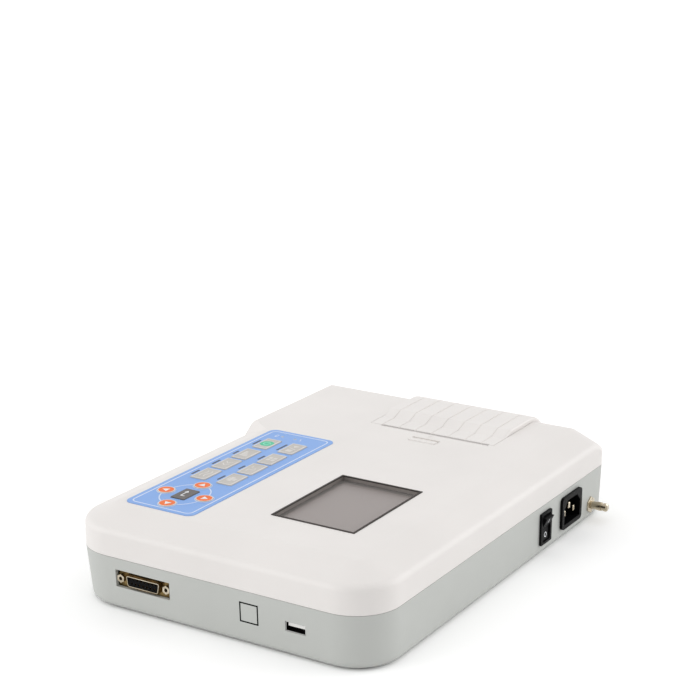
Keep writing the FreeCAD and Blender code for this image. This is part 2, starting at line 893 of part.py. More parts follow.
def lid_posts():
    posts = [z_rod(lid_post_r, x, y, parting_z, plateau_z) for x, y in case_posts]
    posts += [z_rod(key_post_r, x, y, key_board_z1, plateau_z) for x, y in key_board_posts()]
    posts += [z_rod(guide_post_r, x, y, slide_z0 - latch_gap, plateau_z) for x, y in latch_posts()]
    boss_x1 = hinge_x + hinge_pin_r + hinge_boss_wall
    boss_z1 = hinge_z + hinge_pin_r + hinge_boss_wall
    for y0 in (door_y0 - door_gap - hinge_boss_length, door_y1 + door_gap):
        posts.append(box(left, boss_x1, y0, y0 + hinge_boss_length, parting_z, boss_z1))
    posts.append(box(spring_x1, spring_x1 + case_wall, paper_y - latch_spring_r, paper_y + latch_spring_r,
                     slide_z0 - 2 * latch_spring_r, plateau_z))
    return Part.makeCompound(posts).common(lid_limit)


def make_top_shell():
    lid = lid_outside.cut(lid_hollow).fuse(lid_posts()).removeSplitter()
    below, above = under_lid_z - 1, plateau_z + 1
    cuts = [
        box(-far, door_end + door_gap, door_y0 - door_gap, door_y1 + door_gap, parting_z - 1, crown_z + 1),
        box(door_end, door_end + slot_in_lid, bin_y0, bin_y1, below, above),
        box(display_x0, display_x1, display_y0, display_y1, below, above),
        rounded_block(pad_x0 - pad_slack, pad_x1 + pad_slack, pad_y0 - pad_slack, pad_y1 + pad_slack,
                      pad_z0, above, pad_corner_r + pad_slack),
        box(pad_x0 + pad_rim, pad_x1 - pad_rim, pad_y0 + pad_rim, pad_y1 - pad_rim, below, above),
        latch_well(latch_frame_wall, below, above),
    ]
    thread_z = parting_z + case_screw_length - case_post_cap
    for x, y in case_posts:
        cuts.append(z_rod(case_screw_r, x, y, parting_z - 1, thread_z))
    for x, y in key_board_posts():
        cuts.append(z_rod(board_screw_r, x, y, key_board_z0, key_board_z0 + board_screw_length))
    seat_z = slide_z0 - latch_gap
    for x, y in latch_posts():
        cuts.append(z_rod(board_screw_r, x, y, seat_z - 1, seat_z + board_screw_length))
    reach = (hinge_pin_length + door_gap) / 2
    for y in (door_y0, door_y1):
        cuts.append(y_rod(hinge_pin_r, hinge_x, hinge_z, y - reach, y + reach))
    return lid.cut(Part.makeCompound(cuts))


# Base

def board_holes(x0, x1, y0, y1):
    inset = board_hole_inset
    return [(x, y) for x in (x0 + inset, x1 - inset) for y in (y0 + inset, y1 - inset)]


main_holes = board_holes(main_x0, main_x1, main_y0, main_y1)
power_holes = board_holes(power_x0, power_x1, power_y0, power_y1)


def foot_places():
    x, y = case_width / 2 - foot_from_side, case_depth / 2 - foot_from_end
    return [(-x, -y), (x, -y), (-x, y), (x, y)]


def battery_box(grow, z0, z1):
    return box(battery_x0 - grow, battery_x1 + grow, battery_y0 - grow, battery_y1 + grow, z0, z1)


def port_notches():
    """Room behind the right wall for the flange of each port, clear of the lip."""
    rim = 2 * (blank_gap + blank_flange)
    ports = [(socket_y, socket_z, socket_flange_width, socket_flange_height),
             (usb_y, usb_z, usb_width, usb_tall),
             (blank_y, blank_z, blank_width + rim, blank_tall + rim)]
    return [side_box(y, z, width + 2 * lip_gap, tall + 2 * lip_gap, right - usb_depth, right + 1)
            for y, z, width, tall in ports]


def make_lip():
    """Upright lip inside the top of the base that locates the lid, open beside the door."""
    root = plan_prism(case_wall / 2, parting_z - lip_root, parting_z - parting_gap)
    root = root.common(tray_form(0, foot_proud, parting_z))
    lip = plan_prism(case_wall + lip_gap, parting_z - lip_root, parting_z + lip_height)
    inside = plan_prism(case_wall + lip_gap + lip_wall, foot_proud, plateau_z)
    margin = hinge_boss_length + 2 * door_gap
    beside = box(-far, roll_x, door_y0 - margin, door_y1 + margin, foot_proud, plateau_z)
    return root.fuse(lip).cut(inside).cut(Part.makeCompound([beside] + port_notches()))


def base_openings():
    cuts = [
        battery_box(battery_gap, 0, parting_z),
        battery_box(battery_ledge + battery_gap, 0, foot_proud + battery_cover_thick),
        side_box(socket_y, socket_z, socket_flange_width + 2 * socket_cut_slack, socket_cut_height,
                 right - 2 * case_wall - right_draft, right + 1),
        side_box(usb_y, usb_z, usb_width + 2 * usb_slack, usb_tall + 2 * usb_slack,
                 right - usb_depth, right + 1),
        side_box(blank_y, blank_z, blank_width + 2 * blank_gap, blank_tall + 2 * blank_gap,
                 right - usb_depth, right + 1),
        end_box(rocker_x, rocker_z, rocker_body_width + 2 * hole_slack, rocker_body_tall + 2 * hole_slack,
                rear - 2 * case_wall, rear + 1),
        end_box(inlet_x, inlet_z, inlet_body_width + 2 * hole_slack, inlet_body_tall + 2 * hole_slack,
                rear - 2 * case_wall, rear + 1),
        y_rod(earth_shank_r + screw_slack, earth_x, earth_z, rear - 2 * case_wall, rear + 1),
    ]
    for x, y in case_posts:
        cuts.append(z_rod(case_screw_r + screw_slack, x, y, 0, parting_z))
        cuts.append(z_rod(case_screw_head_r + screw_slack, x, y, 0, parting_z - case_post_cap))
    for x, y in main_holes + power_holes:
        cuts.append(z_rod(board_screw_r, x, y, floor_z, parting_z))
    for x, y in foot_places():
        cuts.append(z_rod(foot_r, x, y, 0, foot_proud + foot_sunk))
    return Part.makeCompound(cuts)


def make_base_shell():
    tray = tray_form(0, foot_proud, parting_z - parting_gap)
    tray = tray.makeFillet(base_edge_r, level_edges(tray, foot_proud))
    tray = tray.cut(tray_form(case_wall, floor_z, parting_z))
    root_z = foot_proud + case_wall / 2
    parts = [tray, make_lip()]
    parts += [z_rod(case_post_r, x, y, root_z, parting_z - parting_gap) for x, y in case_posts]
    parts += [z_rod(standoff_r, x, y, root_z, main_board_z0) for x, y in main_holes]
    parts += [z_rod(standoff_r, x, y, root_z, power_z0) for x, y in power_holes]
    parts += [z_rod(foot_r + case_wall, x, y, root_z, floor_z + foot_sunk) for x, y in foot_places()]
    parts.append(battery_box(battery_ledge + battery_rim, root_z, floor_z + battery_rim_height))
    return joined(parts).cut(base_openings())


# Paper supply

def make_paper_bin():
    y0, y1 = bin_y0 - bin_end_wall, bin_y1 + bin_end_wall

    def trough(radius, low_y, high_y, top_z):
        upper = box(roll_x - radius, roll_x + radius, low_y, high_y, roll_z, top_z)
        return y_rod(radius, roll_x, roll_z, low_y, high_y).fuse(upper)

    legs = [box(roll_x - bin_leg_half, roll_x + bin_leg_half, y, y + bin_end_wall, floor_z, roll_z)
            for y in (y0, bin_y1)]
    body = joined([trough(bin_r, y0, y1, bin_top_z)] + legs)
    body = body.cut(box(roll_x - bin_r, roll_x + bin_r, y0, y1, bin_top_z, plateau_z))
    hollow = trough(trough_r, bin_y0, bin_y1, plateau_z)
    slots = trough(journal_r + journal_gap, y0 - 1, y1 + 1, plateau_z)
    return body.cut(hollow).cut(slots)


def make_paper_supply():
    reach = paper_side_gap + bin_end_wall
    spindle = [y_rod(core_bore_r - spindle_gap, roll_x, roll_z, paper_y0, paper_y1),
               y_rod(journal_r, roll_x, roll_z, paper_y0 - reach, paper_y1 + reach)]
    export("paper_bin", make_paper_bin())
    export("paper_roll", y_ring(roll_r, core_r, roll_x, roll_z, paper_y0, paper_y1))
    export("paper_core", y_ring(core_r, core_bore_r, roll_x, roll_z, paper_y0, paper_y1))
    export("paper_spindle", joined(spindle))


# Printer

def make_printer_frame():
    y1 = rear_cheek_y0 + frame_wall
    plate_top = platen_z - cheek_drop - 2 * door_gap
    frame = joined([
        box(frame_x0, frame_x1, frame_y0, y1, floor_z, floor_z + frame_wall),
        box(head_x1, frame_x1, frame_y0, y1, floor_z, head_z1),
        box(frame_x0, frame_x1, frame_y0, frame_y1, floor_z, plate_top),
        box(frame_x0, frame_x1, y1 - frame_wall, y1, floor_z, plate_top),
        y_rod(idler_stud_r, idler_x, idler_z, gear_y0 - gear_gap, frame_y1),
    ])
    return frame.cut(y_rod(motor_nose_r, pinion_x, pinion_z, frame_y0 - 1, frame_y1))


def make_print_head():
    bump_x = head_x0 + head_bump_r
    plate = box(bump_x, head_x1, frame_y1, rear_cheek_y0, head_z0, head_z1)
    return joined([plate, y_rod(head_bump_r, bump_x, platen_z, frame_y1, rear_cheek_y0)])


def make_drive_motor():
    y1 = frame_y1 + motor_length
    foot = box(pinion_x - motor_r / 2, pinion_x + motor_r / 2, frame_y1, y1, floor_z + frame_wall, pinion_z)
    body = joined([y_rod(motor_r, pinion_x, pinion_z, frame_y1, y1), foot])
    bore_y1 = frame_y1 + motor_shaft_depth
    return body.cut(y_rod(motor_shaft_r + running_gap, pinion_x, pinion_z, frame_y1 - 1, bore_y1))


def make_motor_pinion():
    shaft_y1 = frame_y1 + motor_shaft_depth - motor_clear
    return joined([gear(pinion_teeth, pinion_x, pinion_z, pinion_first, motor_shaft_r / 2),
                   y_rod(motor_shaft_r, pinion_x, pinion_z, gear_y0, shaft_y1)])


def make_printer():
    export("printer_frame", make_printer_frame())
    export("print_head", make_print_head())
    export("platen_roller", y_ring(platen_r, platen_shaft_r, platen_x, platen_z, paper_y0, paper_y1))
    export("platen_shaft", y_rod(platen_shaft_r, platen_x, platen_z, gear_y0, rear_cheek_y1))
    export("platen_gear", gear(platen_teeth, platen_x, platen_z, idler_bearing, platen_shaft_r))
    export("idler_gear", gear(idler_teeth, idler_x, idler_z, idler_first, idler_stud_r + running_gap))
    export("drive_motor", make_drive_motor())
    export("motor_pinion", make_motor_pinion())


# Door fittings and latch

def make_latch_slider():
    x0, x1 = spring_x0 - slide_length, spring_x0
    y1 = paper_y + thumb_length / 2 + latch_frame_wall + 2 * guide_from_thumb
    arm_z1 = toe_z0 - hook_clear
    arm_z0 = arm_z1 - hook_thick
    hook_x1 = toe_x0 - hook_clear
    hook_x0 = hook_x1 - hook_thick
    nose_z0 = toe_z0 + catch_thick + hook_clear
    slide = joined([
        box(x0, x1, hook_y0, y1, slide_z0, slide_z1),
        box(x0, x0 + hook_thick, hook_y0, hook_y1, arm_z0, slide_z1),
        box(hook_x0, x0 + hook_thick, hook_y0, hook_y1, arm_z0, arm_z1),
        box(hook_x0, hook_x1, hook_y0, hook_y1, arm_z0, nose_z0 + hook_thick),
        box(hook_x0, hook_x1 + hook_nose, hook_y0, hook_y1, nose_z0, nose_z0 + hook_thick),
        box(x1 - slide_tab, x1, paper_y - latch_spring_r, paper_y + latch_spring_r,
            slide_z0 - 2 * latch_spring_r, slide_z1),
    ])
    reach = guide_post_r + latch_gap
    slots = [box(x - reach, x + latch_travel + reach, y - reach, y + reach, slide_z0 - 1, slide_z1 + 1)
             for x, y in latch_posts()]
    return slide.cut(Part.makeCompound(slots))


def make_latch_thumb():
    top_z = plateau_z + thumb_proud
    bar = rounded_block(thumb_x0, thumb_x1, paper_y - thumb_length / 2, paper_y + thumb_length / 2,
                        slide_z1, top_z, thumb_width / 4)
    return bar.makeFillet(thumb_proud, level_edges(bar, top_z))


def make_latch_spring():
    """Pull spring along X between the slide's tab and the stop under the lid."""
    pitch = latch_spring_length / latch_spring_turns
    radius = latch_spring_r - latch_spring_wire / 2
    rise = Vector(0, 1, pitch / (2 * math.pi * radius))
    section = Part.Wire(Part.makeCircle(latch_spring_wire / 2, Vector(radius, 0, 0), rise))
    helix = Part.makeHelix(pitch, latch_spring_length - latch_spring_wire, radius)
    coil = Part.Wire(helix).makePipeShell([section], True, True)
    turn = FreeCAD.Rotation(Vector(0, 0, 1), Vector(1, 0, 0))
    place = Vector(spring_x0 + latch_spring_wire / 2, paper_y, slide_z0 - latch_spring_r)
    coil.Placement = FreeCAD.Placement(place, turn)
    return coil


def make_door_and_latch():
    export("paper_door", make_paper_door())
    reach = hinge_pin_length / 2
    pins = [y_rod(hinge_pin_r, hinge_x, hinge_z, y - reach, y + reach)
            for y in (door_y0 - door_gap / 2, door_y1 + door_gap / 2)]
    export("door_hinge_pins", Part.makeCompound(pins))
    export("latch_slider", make_latch_slider())
    export("latch_thumb", make_latch_thumb())
    frame = latch_well(latch_frame_wall, under_lid_z, plateau_z)
    export("latch_frame", frame.cut(latch_well(0, under_lid_z - 1, plateau_z + 1)))
    export("latch_spring", make_latch_spring())


# Display

def display_box(grow, z0, z1):
    return box(display_x0 - grow, display_x1 + grow, display_y0 - grow, display_y1 + grow, z0, z1)


def make_display():
    bezel = display_box(-bezel_slack, under_lid_z, plateau_z - bezel_sunk)
    opening = display_box(-bezel_slack - bezel_wall, under_lid_z - 1, plateau_z + 1)
    export("display_bezel", bezel.cut(opening))
    window_z0 = under_lid_z - window_thick
    export("display_window", display_box(window_rim, window_z0, under_lid_z))
    export("lcd_panel", display_box(lcd_rim, window_z0 - lcd_thick, window_z0))


# Keypad

def key_places():
    """Middle and size of each key; a round key has no width."""
    rear_row = ["key_start_stop", "key_mode", "key_calibrate", "key_print"]
    front_row = ["key_power", "key_gain", "key_speed", "key_filter"]
    places = {}
    x = pad_x0 + first_key_from_left + key_width / 2
    row_y = pad_y + key_row_shift
    for rear_name, front_name, gap in zip(rear_row, front_row, key_column_gaps + [0]):
        places[rear_name] = (x, row_y + key_row_pitch / 2, key_width, key_depth)
        places[front_name] = (x, row_y - key_row_pitch / 2, key_width, key_depth)
        x += key_width + gap
    places["key_set"] = (cluster_x, pad_y, set_width, set_depth)
    places["key_up"] = (cluster_x, pad_y + arrow_reach_y, None, None)
    places["key_down"] = (cluster_x, pad_y - arrow_reach_y, None, None)
    places["key_left"] = (cluster_x - arrow_reach_x, pad_y, None, None)
    places["key_right"] = (cluster_x + arrow_reach_x, pad_y, None, None)
    return places


def key_block(place, grow, z0, z1):
    x, y, width, depth = place
    if width is None:
        return z_rod(arrow_r + grow, x, y, z0, z1)
    half_x, half_y = width / 2 + grow, depth / 2 + grow
    return rounded_block(x - half_x, x + half_x, y - half_y, y + half_y, z0, z1, key_corner_r + grow)


def make_key(place):
    top_z = pad_z1 + key_proud
    cap = key_block(place, 0, key_flange_z0, top_z)
    cap = cap.makeChamfer(key_edge, level_edges(cap, top_z))
    return joined([cap, key_block(place, key_flange, key_flange_z0, key_flange_z1)])


def make_keypad():
    places = key_places()
    lamps = [(pad_x0 + lamp_from_left, pad_y + row) for row in lamp_rows]
    below, above = pad_z0 - 1, pad_z1 + 1
    overlay = rounded_block(pad_x0, pad_x1, pad_y0, pad_y1, pad_z0, pad_z1, pad_corner_r)
    holes = [key_block(place, key_slack, below, above) for place in places.values()]
    holes += [z_rod(lamp_r, x, y, below, above) for x, y in lamps]
    export("keypad_overlay", overlay.cut(Part.makeCompound(holes)))
    for name, place in places.items():
        export(name, make_key(place))
    lenses = [joined([z_rod(lamp_r, x, y, key_flange_z0, pad_z1),
                      z_rod(lamp_r + lamp_flange, x, y, key_flange_z0, pad_z0)]) for x, y in lamps]
    export("indicator_lenses", Part.makeCompound(lenses))

    inset = pad_rim + pad_slack
    mat = box(pad_x0 + inset, pad_x1 - inset, pad_y0 + inset, pad_y1 - inset, key_board_z1, mat_z1)
    domes = [Part.makeCone(mat_dome_r, mat_dome_top_r, mat_dome_h, Vector(place[0], place[1], mat_z1))
             for place in places.values()]
    export("key_mat", joined([mat] + domes))
    grow = key_board_margin
    board = box(pad_x0 - grow, pad_x1 + grow, pad_y0 - grow, pad_y1 + grow, key_board_z0, key_board_z1)
    holes = [z_rod(board_screw_r, x, y, key_board_z0 - 1, key_board_z1 + 1) for x, y in key_board_posts()]
    export("key_board", board.cut(Part.makeCompound(holes)))


# Lead socket

def d_block(grow, x0, x1):
    """Block with the slanted outline of the connector, wider at the top, along X."""
    half, tall = socket_d_width / 2 + grow, socket_d_height / 2 + grow
    low = half - socket_d_slant
    points = [(half, tall), (-half, tall), (-low, -tall), (low, -tall)]
    corners = [(Vector(x0, socket_y + y, socket_z + z), socket_d_r + grow) for y, z in points]
    return Part.Face(rounded_wire(corners)).extrude(Vector(x1 - x0, 0, 0))


def socket_ways():
    ways = []
    for count, z in ((socket_top_ways, socket_row), (socket_low_ways, -socket_row)):
        for i in range(count):
            ways.append((socket_y + (i - (count - 1) / 2) * socket_pitch, socket_z + z))
    return ways


def make_lead_socket():
    wall_x = right_wall_x(socket_z)
    face_x = wall_x - socket_d_sunk
    flange_x1 = wall_x - socket_flange_sunk
    flange_x0 = flange_x1 - socket_flange_thick
    back_x = flange_x0 - socket_body_depth
    jack_places = [socket_y - socket_screw_pitch / 2, socket_y + socket_screw_pitch / 2]

    flange = side_box(socket_y, socket_z, socket_flange_width, socket_flange_height, flange_x0, flange_x1)
    shell = joined([flange, d_block(0, flange_x0, face_x)])
    shell = shell.cut(d_block(-socket_d_wall, flange_x0 - 1, face_x + 1))
    stems = [x_rod(jack_stem_r, y, socket_z, flange_x0 - 1, flange_x1 + 1) for y in jack_places]
    export("lead_socket_shell", shell.cut(Part.makeCompound(stems)))

    half = socket_d_width / 2
    block = box(back_x, flange_x0, socket_y - half, socket_y + half,
                main_board_z1, socket_z + socket_d_height / 2)
    insulator = joined([d_block(-socket_d_wall, back_x, face_x - socket_d_sunk), block])
    start_x, end_x = back_x + socket_hole_r, face_x - socket_contact_sunk
    holes = [x_rod(socket_hole_r, y, z, start_x, face_x + 1) for y, z in socket_ways()]
    export("lead_socket_insulator", insulator.cut(Part.makeCompound(holes)))
    contacts = [ring(socket_contact_r, socket_contact_bore_r, (start_x, y, z), (end_x, y, z))
                for y, z in socket_ways()]
    export("lead_socket_contacts", Part.makeCompound(contacts))

    jacks = []
    jack_x1 = flange_x1 + jack_height
    for y in jack_places:
        head = hexagon(jack_hex, (flange_x1, y, socket_z), jack_height, (1, 0, 0))
        stem = x_rod(jack_stem_r, y, socket_z, flange_x0 - jack_stem_length, jack_x1)
        hole = x_rod(jack_hole_r, y, socket_z, jack_x1 - jack_hole_depth, jack_x1 + 1)
        jacks.append(joined([head, stem]).cut(hole))
    export("jack_screws", Part.makeCompound(jacks))


# Ports in the right wall

def make_side_ports():
    face_x = right_wall_x(usb_z) - usb_sunk
    back_x = face_x - usb_depth
    block_x1 = back_x + usb_block_depth
    inner_width, inner_tall = usb_width - 2 * usb_wall, usb_tall - 2 * usb_wall
    shell = side_box(usb_y, usb_z, usb_width, usb_tall, back_x, face_x)
    for y in (usb_y - usb_width / 2, usb_y + usb_width / 2 - usb_wall):
        shell = shell.fuse(box(back_x, block_x1, y, y + usb_wall, main_board_z1, usb_z))
    hollow = side_box(usb_y, usb_z, inner_width, inner_tall, back_x - 1, face_x + 1)
    export("usb_shell", shell.removeSplitter().cut(hollow))
    tongue_z = usb_z + usb_tongue_thick / 2
    export("usb_tongue", joined([
        side_box(usb_y, usb_z, inner_width, inner_tall, back_x, block_x1),
        side_box(usb_y, tongue_z, usb_tongue_width, usb_tongue_thick, back_x, face_x - usb_tongue_sunk)]))

    plug = side_box(blank_y, blank_z, blank_width, blank_tall, right - case_wall - right_draft, right + 1)
    plug = plug.common(tray_form(0, foot_proud, parting_z))
    grow = 2 * (blank_gap + blank_flange)
    flange = side_box(blank_y, blank_z, blank_width + grow, blank_tall + grow,
                      right - case_wall - right_draft - blank_thick, right)
    flange = flange.common(tray_form(case_wall, foot_proud, parting_z))
    export("port_blank", joined([plug, flange]))


# Mains switch

def make_rocker():
    face_y = rear + rocker_bezel_proud
    well_y0 = face_y - rocker_well_depth
    pivot_y = face_y - rocker_pivot_sunk
    bezel = end_block(rocker_x, rocker_z, rocker_body_width + 2 * rocker_bezel_rim,
                      rocker_body_tall + 2 * rocker_bezel_rim, rear, face_y, rocker_bezel_r)
    body = end_box(rocker_x, rocker_z, rocker_body_width, rocker_body_tall, well_y0 - rocker_back_wall, rear)
    well = end_box(rocker_x, rocker_z, rocker_well_width, rocker_well_tall, well_y0, face_y + 1)
    reach = rocker_paddle_width / 2 + trunnion_length
    pivot = x_rod(trunnion_r + running_gap, pivot_y, rocker_z, rocker_x - reach - running_gap,
                  rocker_x + reach + running_gap)
    export("rocker_housing", joined([bezel, body]).cut(well).cut(pivot))

    outline = [
        (rocker_end_rise, rocker_half), (rocker_dip, 0), (rocker_end_rise, -rocker_half),
        (-rocker_dip, -rocker_half), (-rocker_tail, -rocker_tail_half),
        (-rocker_tail, rocker_tail_half), (-rocker_dip, rocker_half),
    ]
    x0 = rocker_x - rocker_paddle_width / 2
    points = [Vector(x0, pivot_y + y, rocker_z + z) for y, z in outline]
    paddle = Part.Face(Part.makePolygon(points + points[:1])).extrude(Vector(rocker_paddle_width, 0, 0))
    paddle = joined([paddle, x_rod(trunnion_r, pivot_y, rocker_z, rocker_x - reach, rocker_x + reach)])
    paddle.rotate(Vector(rocker_x, pivot_y, rocker_z), Vector(1, 0, 0), -rocker_tilt_deg)
    export("rocker_paddle", paddle)


# Mains inlet

def make_inlet():
    face_y = rear + inlet_bezel_proud
    well_y0 = face_y - inlet_well_depth
    back_y = well_y0 - inlet_back_wall
    bezel = end_block(inlet_x, inlet_z, inlet_body_width + 2 * inlet_bezel_rim,
                      inlet_body_tall + 2 * inlet_bezel_rim, rear, face_y, inlet_bezel_r)
    body = end_box(inlet_x, inlet_z, inlet_body_width, inlet_body_tall, back_y, rear)
    half, tall = inlet_well_width / 2, inlet_well_tall / 2
    outline = [
        (half, -tall), (half, tall - inlet_well_cut), (half - inlet_well_cut, tall),
        (inlet_well_cut - half, tall), (-half, tall - inlet_well_cut), (-half, -tall),
    ]
    points = [Vector(inlet_x + x, well_y0, inlet_z + z) for x, z in outline]
    well = Part.Face(Part.makePolygon(points + points[:1])).extrude(Vector(0, inlet_well_depth + 1, 0))

    tip_y = well_y0 + inlet_blade_length
    places = [(0, inlet_blade_rise), (-inlet_blade_half_pitch, -inlet_blade_rise),
              (inlet_blade_half_pitch, -inlet_blade_rise)]
    blades = []
    for x, z in places:
        blade = end_box(inlet_x + x, inlet_z + z, inlet_blade_thick, inlet_blade_wide,
                        back_y - inlet_blade_tail, tip_y)
        tip = [edge for edge in blade.Edges if edge.BoundBox.YMin > tip_y - 1e-4]
        blades.append(blade.makeChamfer(inlet_blade_thick / 4, tip))
    pins = Part.makeCompound(blades)
    export("mains_inlet", joined([bezel, body]).cut(well).cut(pins))
    export("inlet_pins", pins)


# Equipotential post

def make_earth_post():
    tip_y = rear + earth_proud
    neck_y1 = tip_y - earth_tip
    neck_y0 = neck_y1 - earth_neck_length
    barrel_y0 = neck_y0 - earth_barrel
    shank_y0 = rear - earth_inside
    tip = y_rod(earth_tip_r, earth_x, earth_z, neck_y1, tip_y)
    tip = tip.makeChamfer(earth_tip_edge, [edge_at(tip, Vector(earth_x, tip_y, earth_z))])
    export("earth_stud", joined([
        y_rod(earth_shank_r, earth_x, earth_z, shank_y0, barrel_y0),
        y_rod(earth_r, earth_x, earth_z, barrel_y0, neck_y0),
        y_rod(earth_neck_r, earth_x, earth_z, neck_y0, neck_y1), tip]))
    nut_y0 = rear + earth_washer_thick
    lock_y0 = rear - case_wall - earth_nut_thick
    bore = y_rod(earth_shank_r, earth_x, earth_z, shank_y0, tip_y)
    nut = joined([y_rod(earth_washer_r, earth_x, earth_z, rear, nut_y0),
                  hexagon(earth_nut_hex, (earth_x, nut_y0, earth_z), earth_nut_thick, (0, 1, 0))])
    lock_nut = hexagon(earth_nut_hex, (earth_x, lock_y0, earth_z), earth_nut_thick, (0, 1, 0))
    export("earth_nut", Part.makeCompound([nut.cut(bore), lock_nut.cut(bore)]))


# Boards and battery

def drilled_board(x0, x1, y0, y1, z0, holes):
    board = box(x0, x1, y0, y1, z0, z0 + board_thick)
    drills = [z_rod(board_screw_r, x, y, z0 - 1, z0 + board_thick + 1) for x, y in holes]
    return board.cut(Part.makeCompound(drills))


def make_electronics():
    x, y = (main_x0 + main_x1) / 2, (main_y0 + main_y1) / 2
    chip_z1 = main_board_z1 + chip_tall
    chips = [level_box(x + place * chip_pitch, y, chip_size, chip_size, main_board_z1, chip_z1)
             for place in (-1, 0, 1)]
    board = drilled_board(main_x0, main_x1, main_y0, main_y1, main_board_z0, main_holes)
    export("main_board", joined([board] + chips))

    x, y = (power_x0 + power_x1) / 2, (power_y0 + power_y1) / 2
    board = drilled_board(power_x0, power_x1, power_y0, power_y1, power_z0, power_holes)
    coil = level_box(x, y, transformer_size, transformer_size, power_z1, power_z1 + transformer_tall)
    can_x = x + transformer_size / 2 + capacitor_gap + capacitor_r
    can = z_rod(capacitor_r, can_x, y, power_z1, power_z1 + capacitor_tall)
    export("power_board", joined([board, coil, can]))

    cover_z1 = foot_proud + battery_cover_thick
    pack = rounded_block(battery_x0, battery_x1, battery_y0, battery_y1, cover_z1, cover_z1 + battery_tall,
                         battery_edge_r)
    export("battery_pack", pack)
    export("battery_cover", battery_box(battery_ledge, foot_proud, cover_z1))


# Feet and screws

def make_fixings():
    feet = []
    for x, y in foot_places():
        foot = z_rod(foot_r, x, y, 0, foot_proud + foot_sunk)
        feet.append(foot.makeFillet(foot_proud / 2, level_edges(foot, 0)))
    export("rubber_feet", Part.makeCompound(feet))
    seat_z = parting_z - case_post_cap
    screws = [screw((x, y, seat_z), (0, 0, 1), case_screw_r, case_screw_head_r, case_screw_head_h,
                    case_screw_length) for x, y in case_posts]
    export("case_screws", Part.makeCompound(screws))
    down, up = (0, 0, -1), (0, 0, 1)
    small = [small_screw((x, y, main_board_z1), down) for x, y in main_holes]
    small += [small_screw((x, y, power_z1), down) for x, y in power_holes]
    small += [small_screw((x, y, key_board_z0), up) for x, y in key_board_posts()]
    small += [small_screw((x, y, slide_z0 - latch_gap), up) for x, y in latch_posts()]
    export("board_screws", Part.makeCompound(small))


os.makedirs("parts", exist_ok=True)
export("top_shell", make_top_shell())
export("base_shell", make_base_shell())
make_display()
make_keypad()
make_lead_socket()
make_side_ports()
make_rocker()
make_inlet()
make_earth_post()
make_electronics()
make_fixings()
make_paper_supply()
make_printer()
make_door_and_latch()
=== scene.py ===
from math import asin, cos, degrees, pi, radians, sin

import bmesh
import bpy
from mathutils import Matrix, Vector


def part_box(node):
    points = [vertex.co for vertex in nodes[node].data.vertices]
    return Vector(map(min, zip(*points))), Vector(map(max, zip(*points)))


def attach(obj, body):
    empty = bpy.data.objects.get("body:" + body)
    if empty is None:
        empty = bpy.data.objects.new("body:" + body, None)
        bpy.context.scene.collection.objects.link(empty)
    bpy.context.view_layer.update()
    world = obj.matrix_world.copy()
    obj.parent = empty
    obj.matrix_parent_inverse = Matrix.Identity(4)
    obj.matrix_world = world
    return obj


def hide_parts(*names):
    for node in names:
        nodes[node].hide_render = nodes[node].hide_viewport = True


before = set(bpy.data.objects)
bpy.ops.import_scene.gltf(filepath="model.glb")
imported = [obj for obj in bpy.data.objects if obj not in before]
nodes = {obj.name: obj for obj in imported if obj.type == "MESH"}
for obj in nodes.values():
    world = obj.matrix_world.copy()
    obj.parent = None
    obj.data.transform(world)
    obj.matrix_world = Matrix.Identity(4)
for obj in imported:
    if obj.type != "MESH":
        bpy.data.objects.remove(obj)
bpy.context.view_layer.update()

mm = 0.001
print("frame loaded:", len(nodes), "nodes")


# Small tools for objects, places, colours and nodes

def addObject(name, data):
    made = bpy.data.objects.new(name, data)
    bpy.context.scene.collection.objects.link(made)
    return made


def boxMiddle(node):
    low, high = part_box(node)
    return (low + high) / 2


def boxSize(node):  # in millimetres
    low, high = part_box(node)
    return (high - low) / mm


def topMiddle(node):
    middle = boxMiddle(node)
    return Vector((middle.x, middle.y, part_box(node)[1].z))


def facing(direction):
    return Vector(direction).to_track_quat("Z", "Y").to_matrix().to_4x4()


def onFace(node, start, along):
    spot, normal = nodes[node].ray_cast(start, along)[1:3]
    return Matrix.Translation(spot) @ facing(normal)


def linearColour(hexText):
    channels = [int(hexText[i:i + 2], 16) / 255 for i in (1, 3, 5)]
    linear = [c / 12.92 if c <= 0.04045 else ((c + 0.055) / 1.055) ** 2.4 for c in channels]
    return (*linear, 1.0)


def greyLevel(value):
    return (value, value, value, 1.0)


def addNode(tree, kind, settings=None, links=None):
    node = tree.nodes.new(kind)
    for key, value in (settings or {}).items():
        if key == "stops":
            for stop, (position, colour) in zip(node.color_ramp.elements, value):
                stop.position, stop.color = position, colour
        elif key in node.inputs:
            node.inputs[key].default_value = value
        else:
            setattr(node, key, value)
    for key, source in (links or {}).items():
        tree.links.new(source, node.inputs[key])
    return node


# Tint and gloss each run between two values, over the middle of a noise where most of it lies

noiseSpan = (0.3, 0.7)


def tintStops(look):
    return zip(noiseSpan, (linearColour(look["shade"]), linearColour(look["colour"])))


def glossStops(look):
    return zip(noiseSpan, [greyLevel(value) for value in look["roughness"]])


def startMaterial(name, surface):
    material = bpy.data.materials.new(name)
    material.use_nodes = True
    tree = material.node_tree
    shader = tree.nodes["Principled BSDF"]
    for socket, value in surface.items():
        shader.inputs[socket].default_value = value
    place = addNode(tree, "ShaderNodeTexCoord").outputs["Object"]
    return material, tree, shader, place


# Moulded and printed plastics: a fine grain breaks the gloss, and a slow drift in the tint
# keeps a wide wall from looking like one flat colour

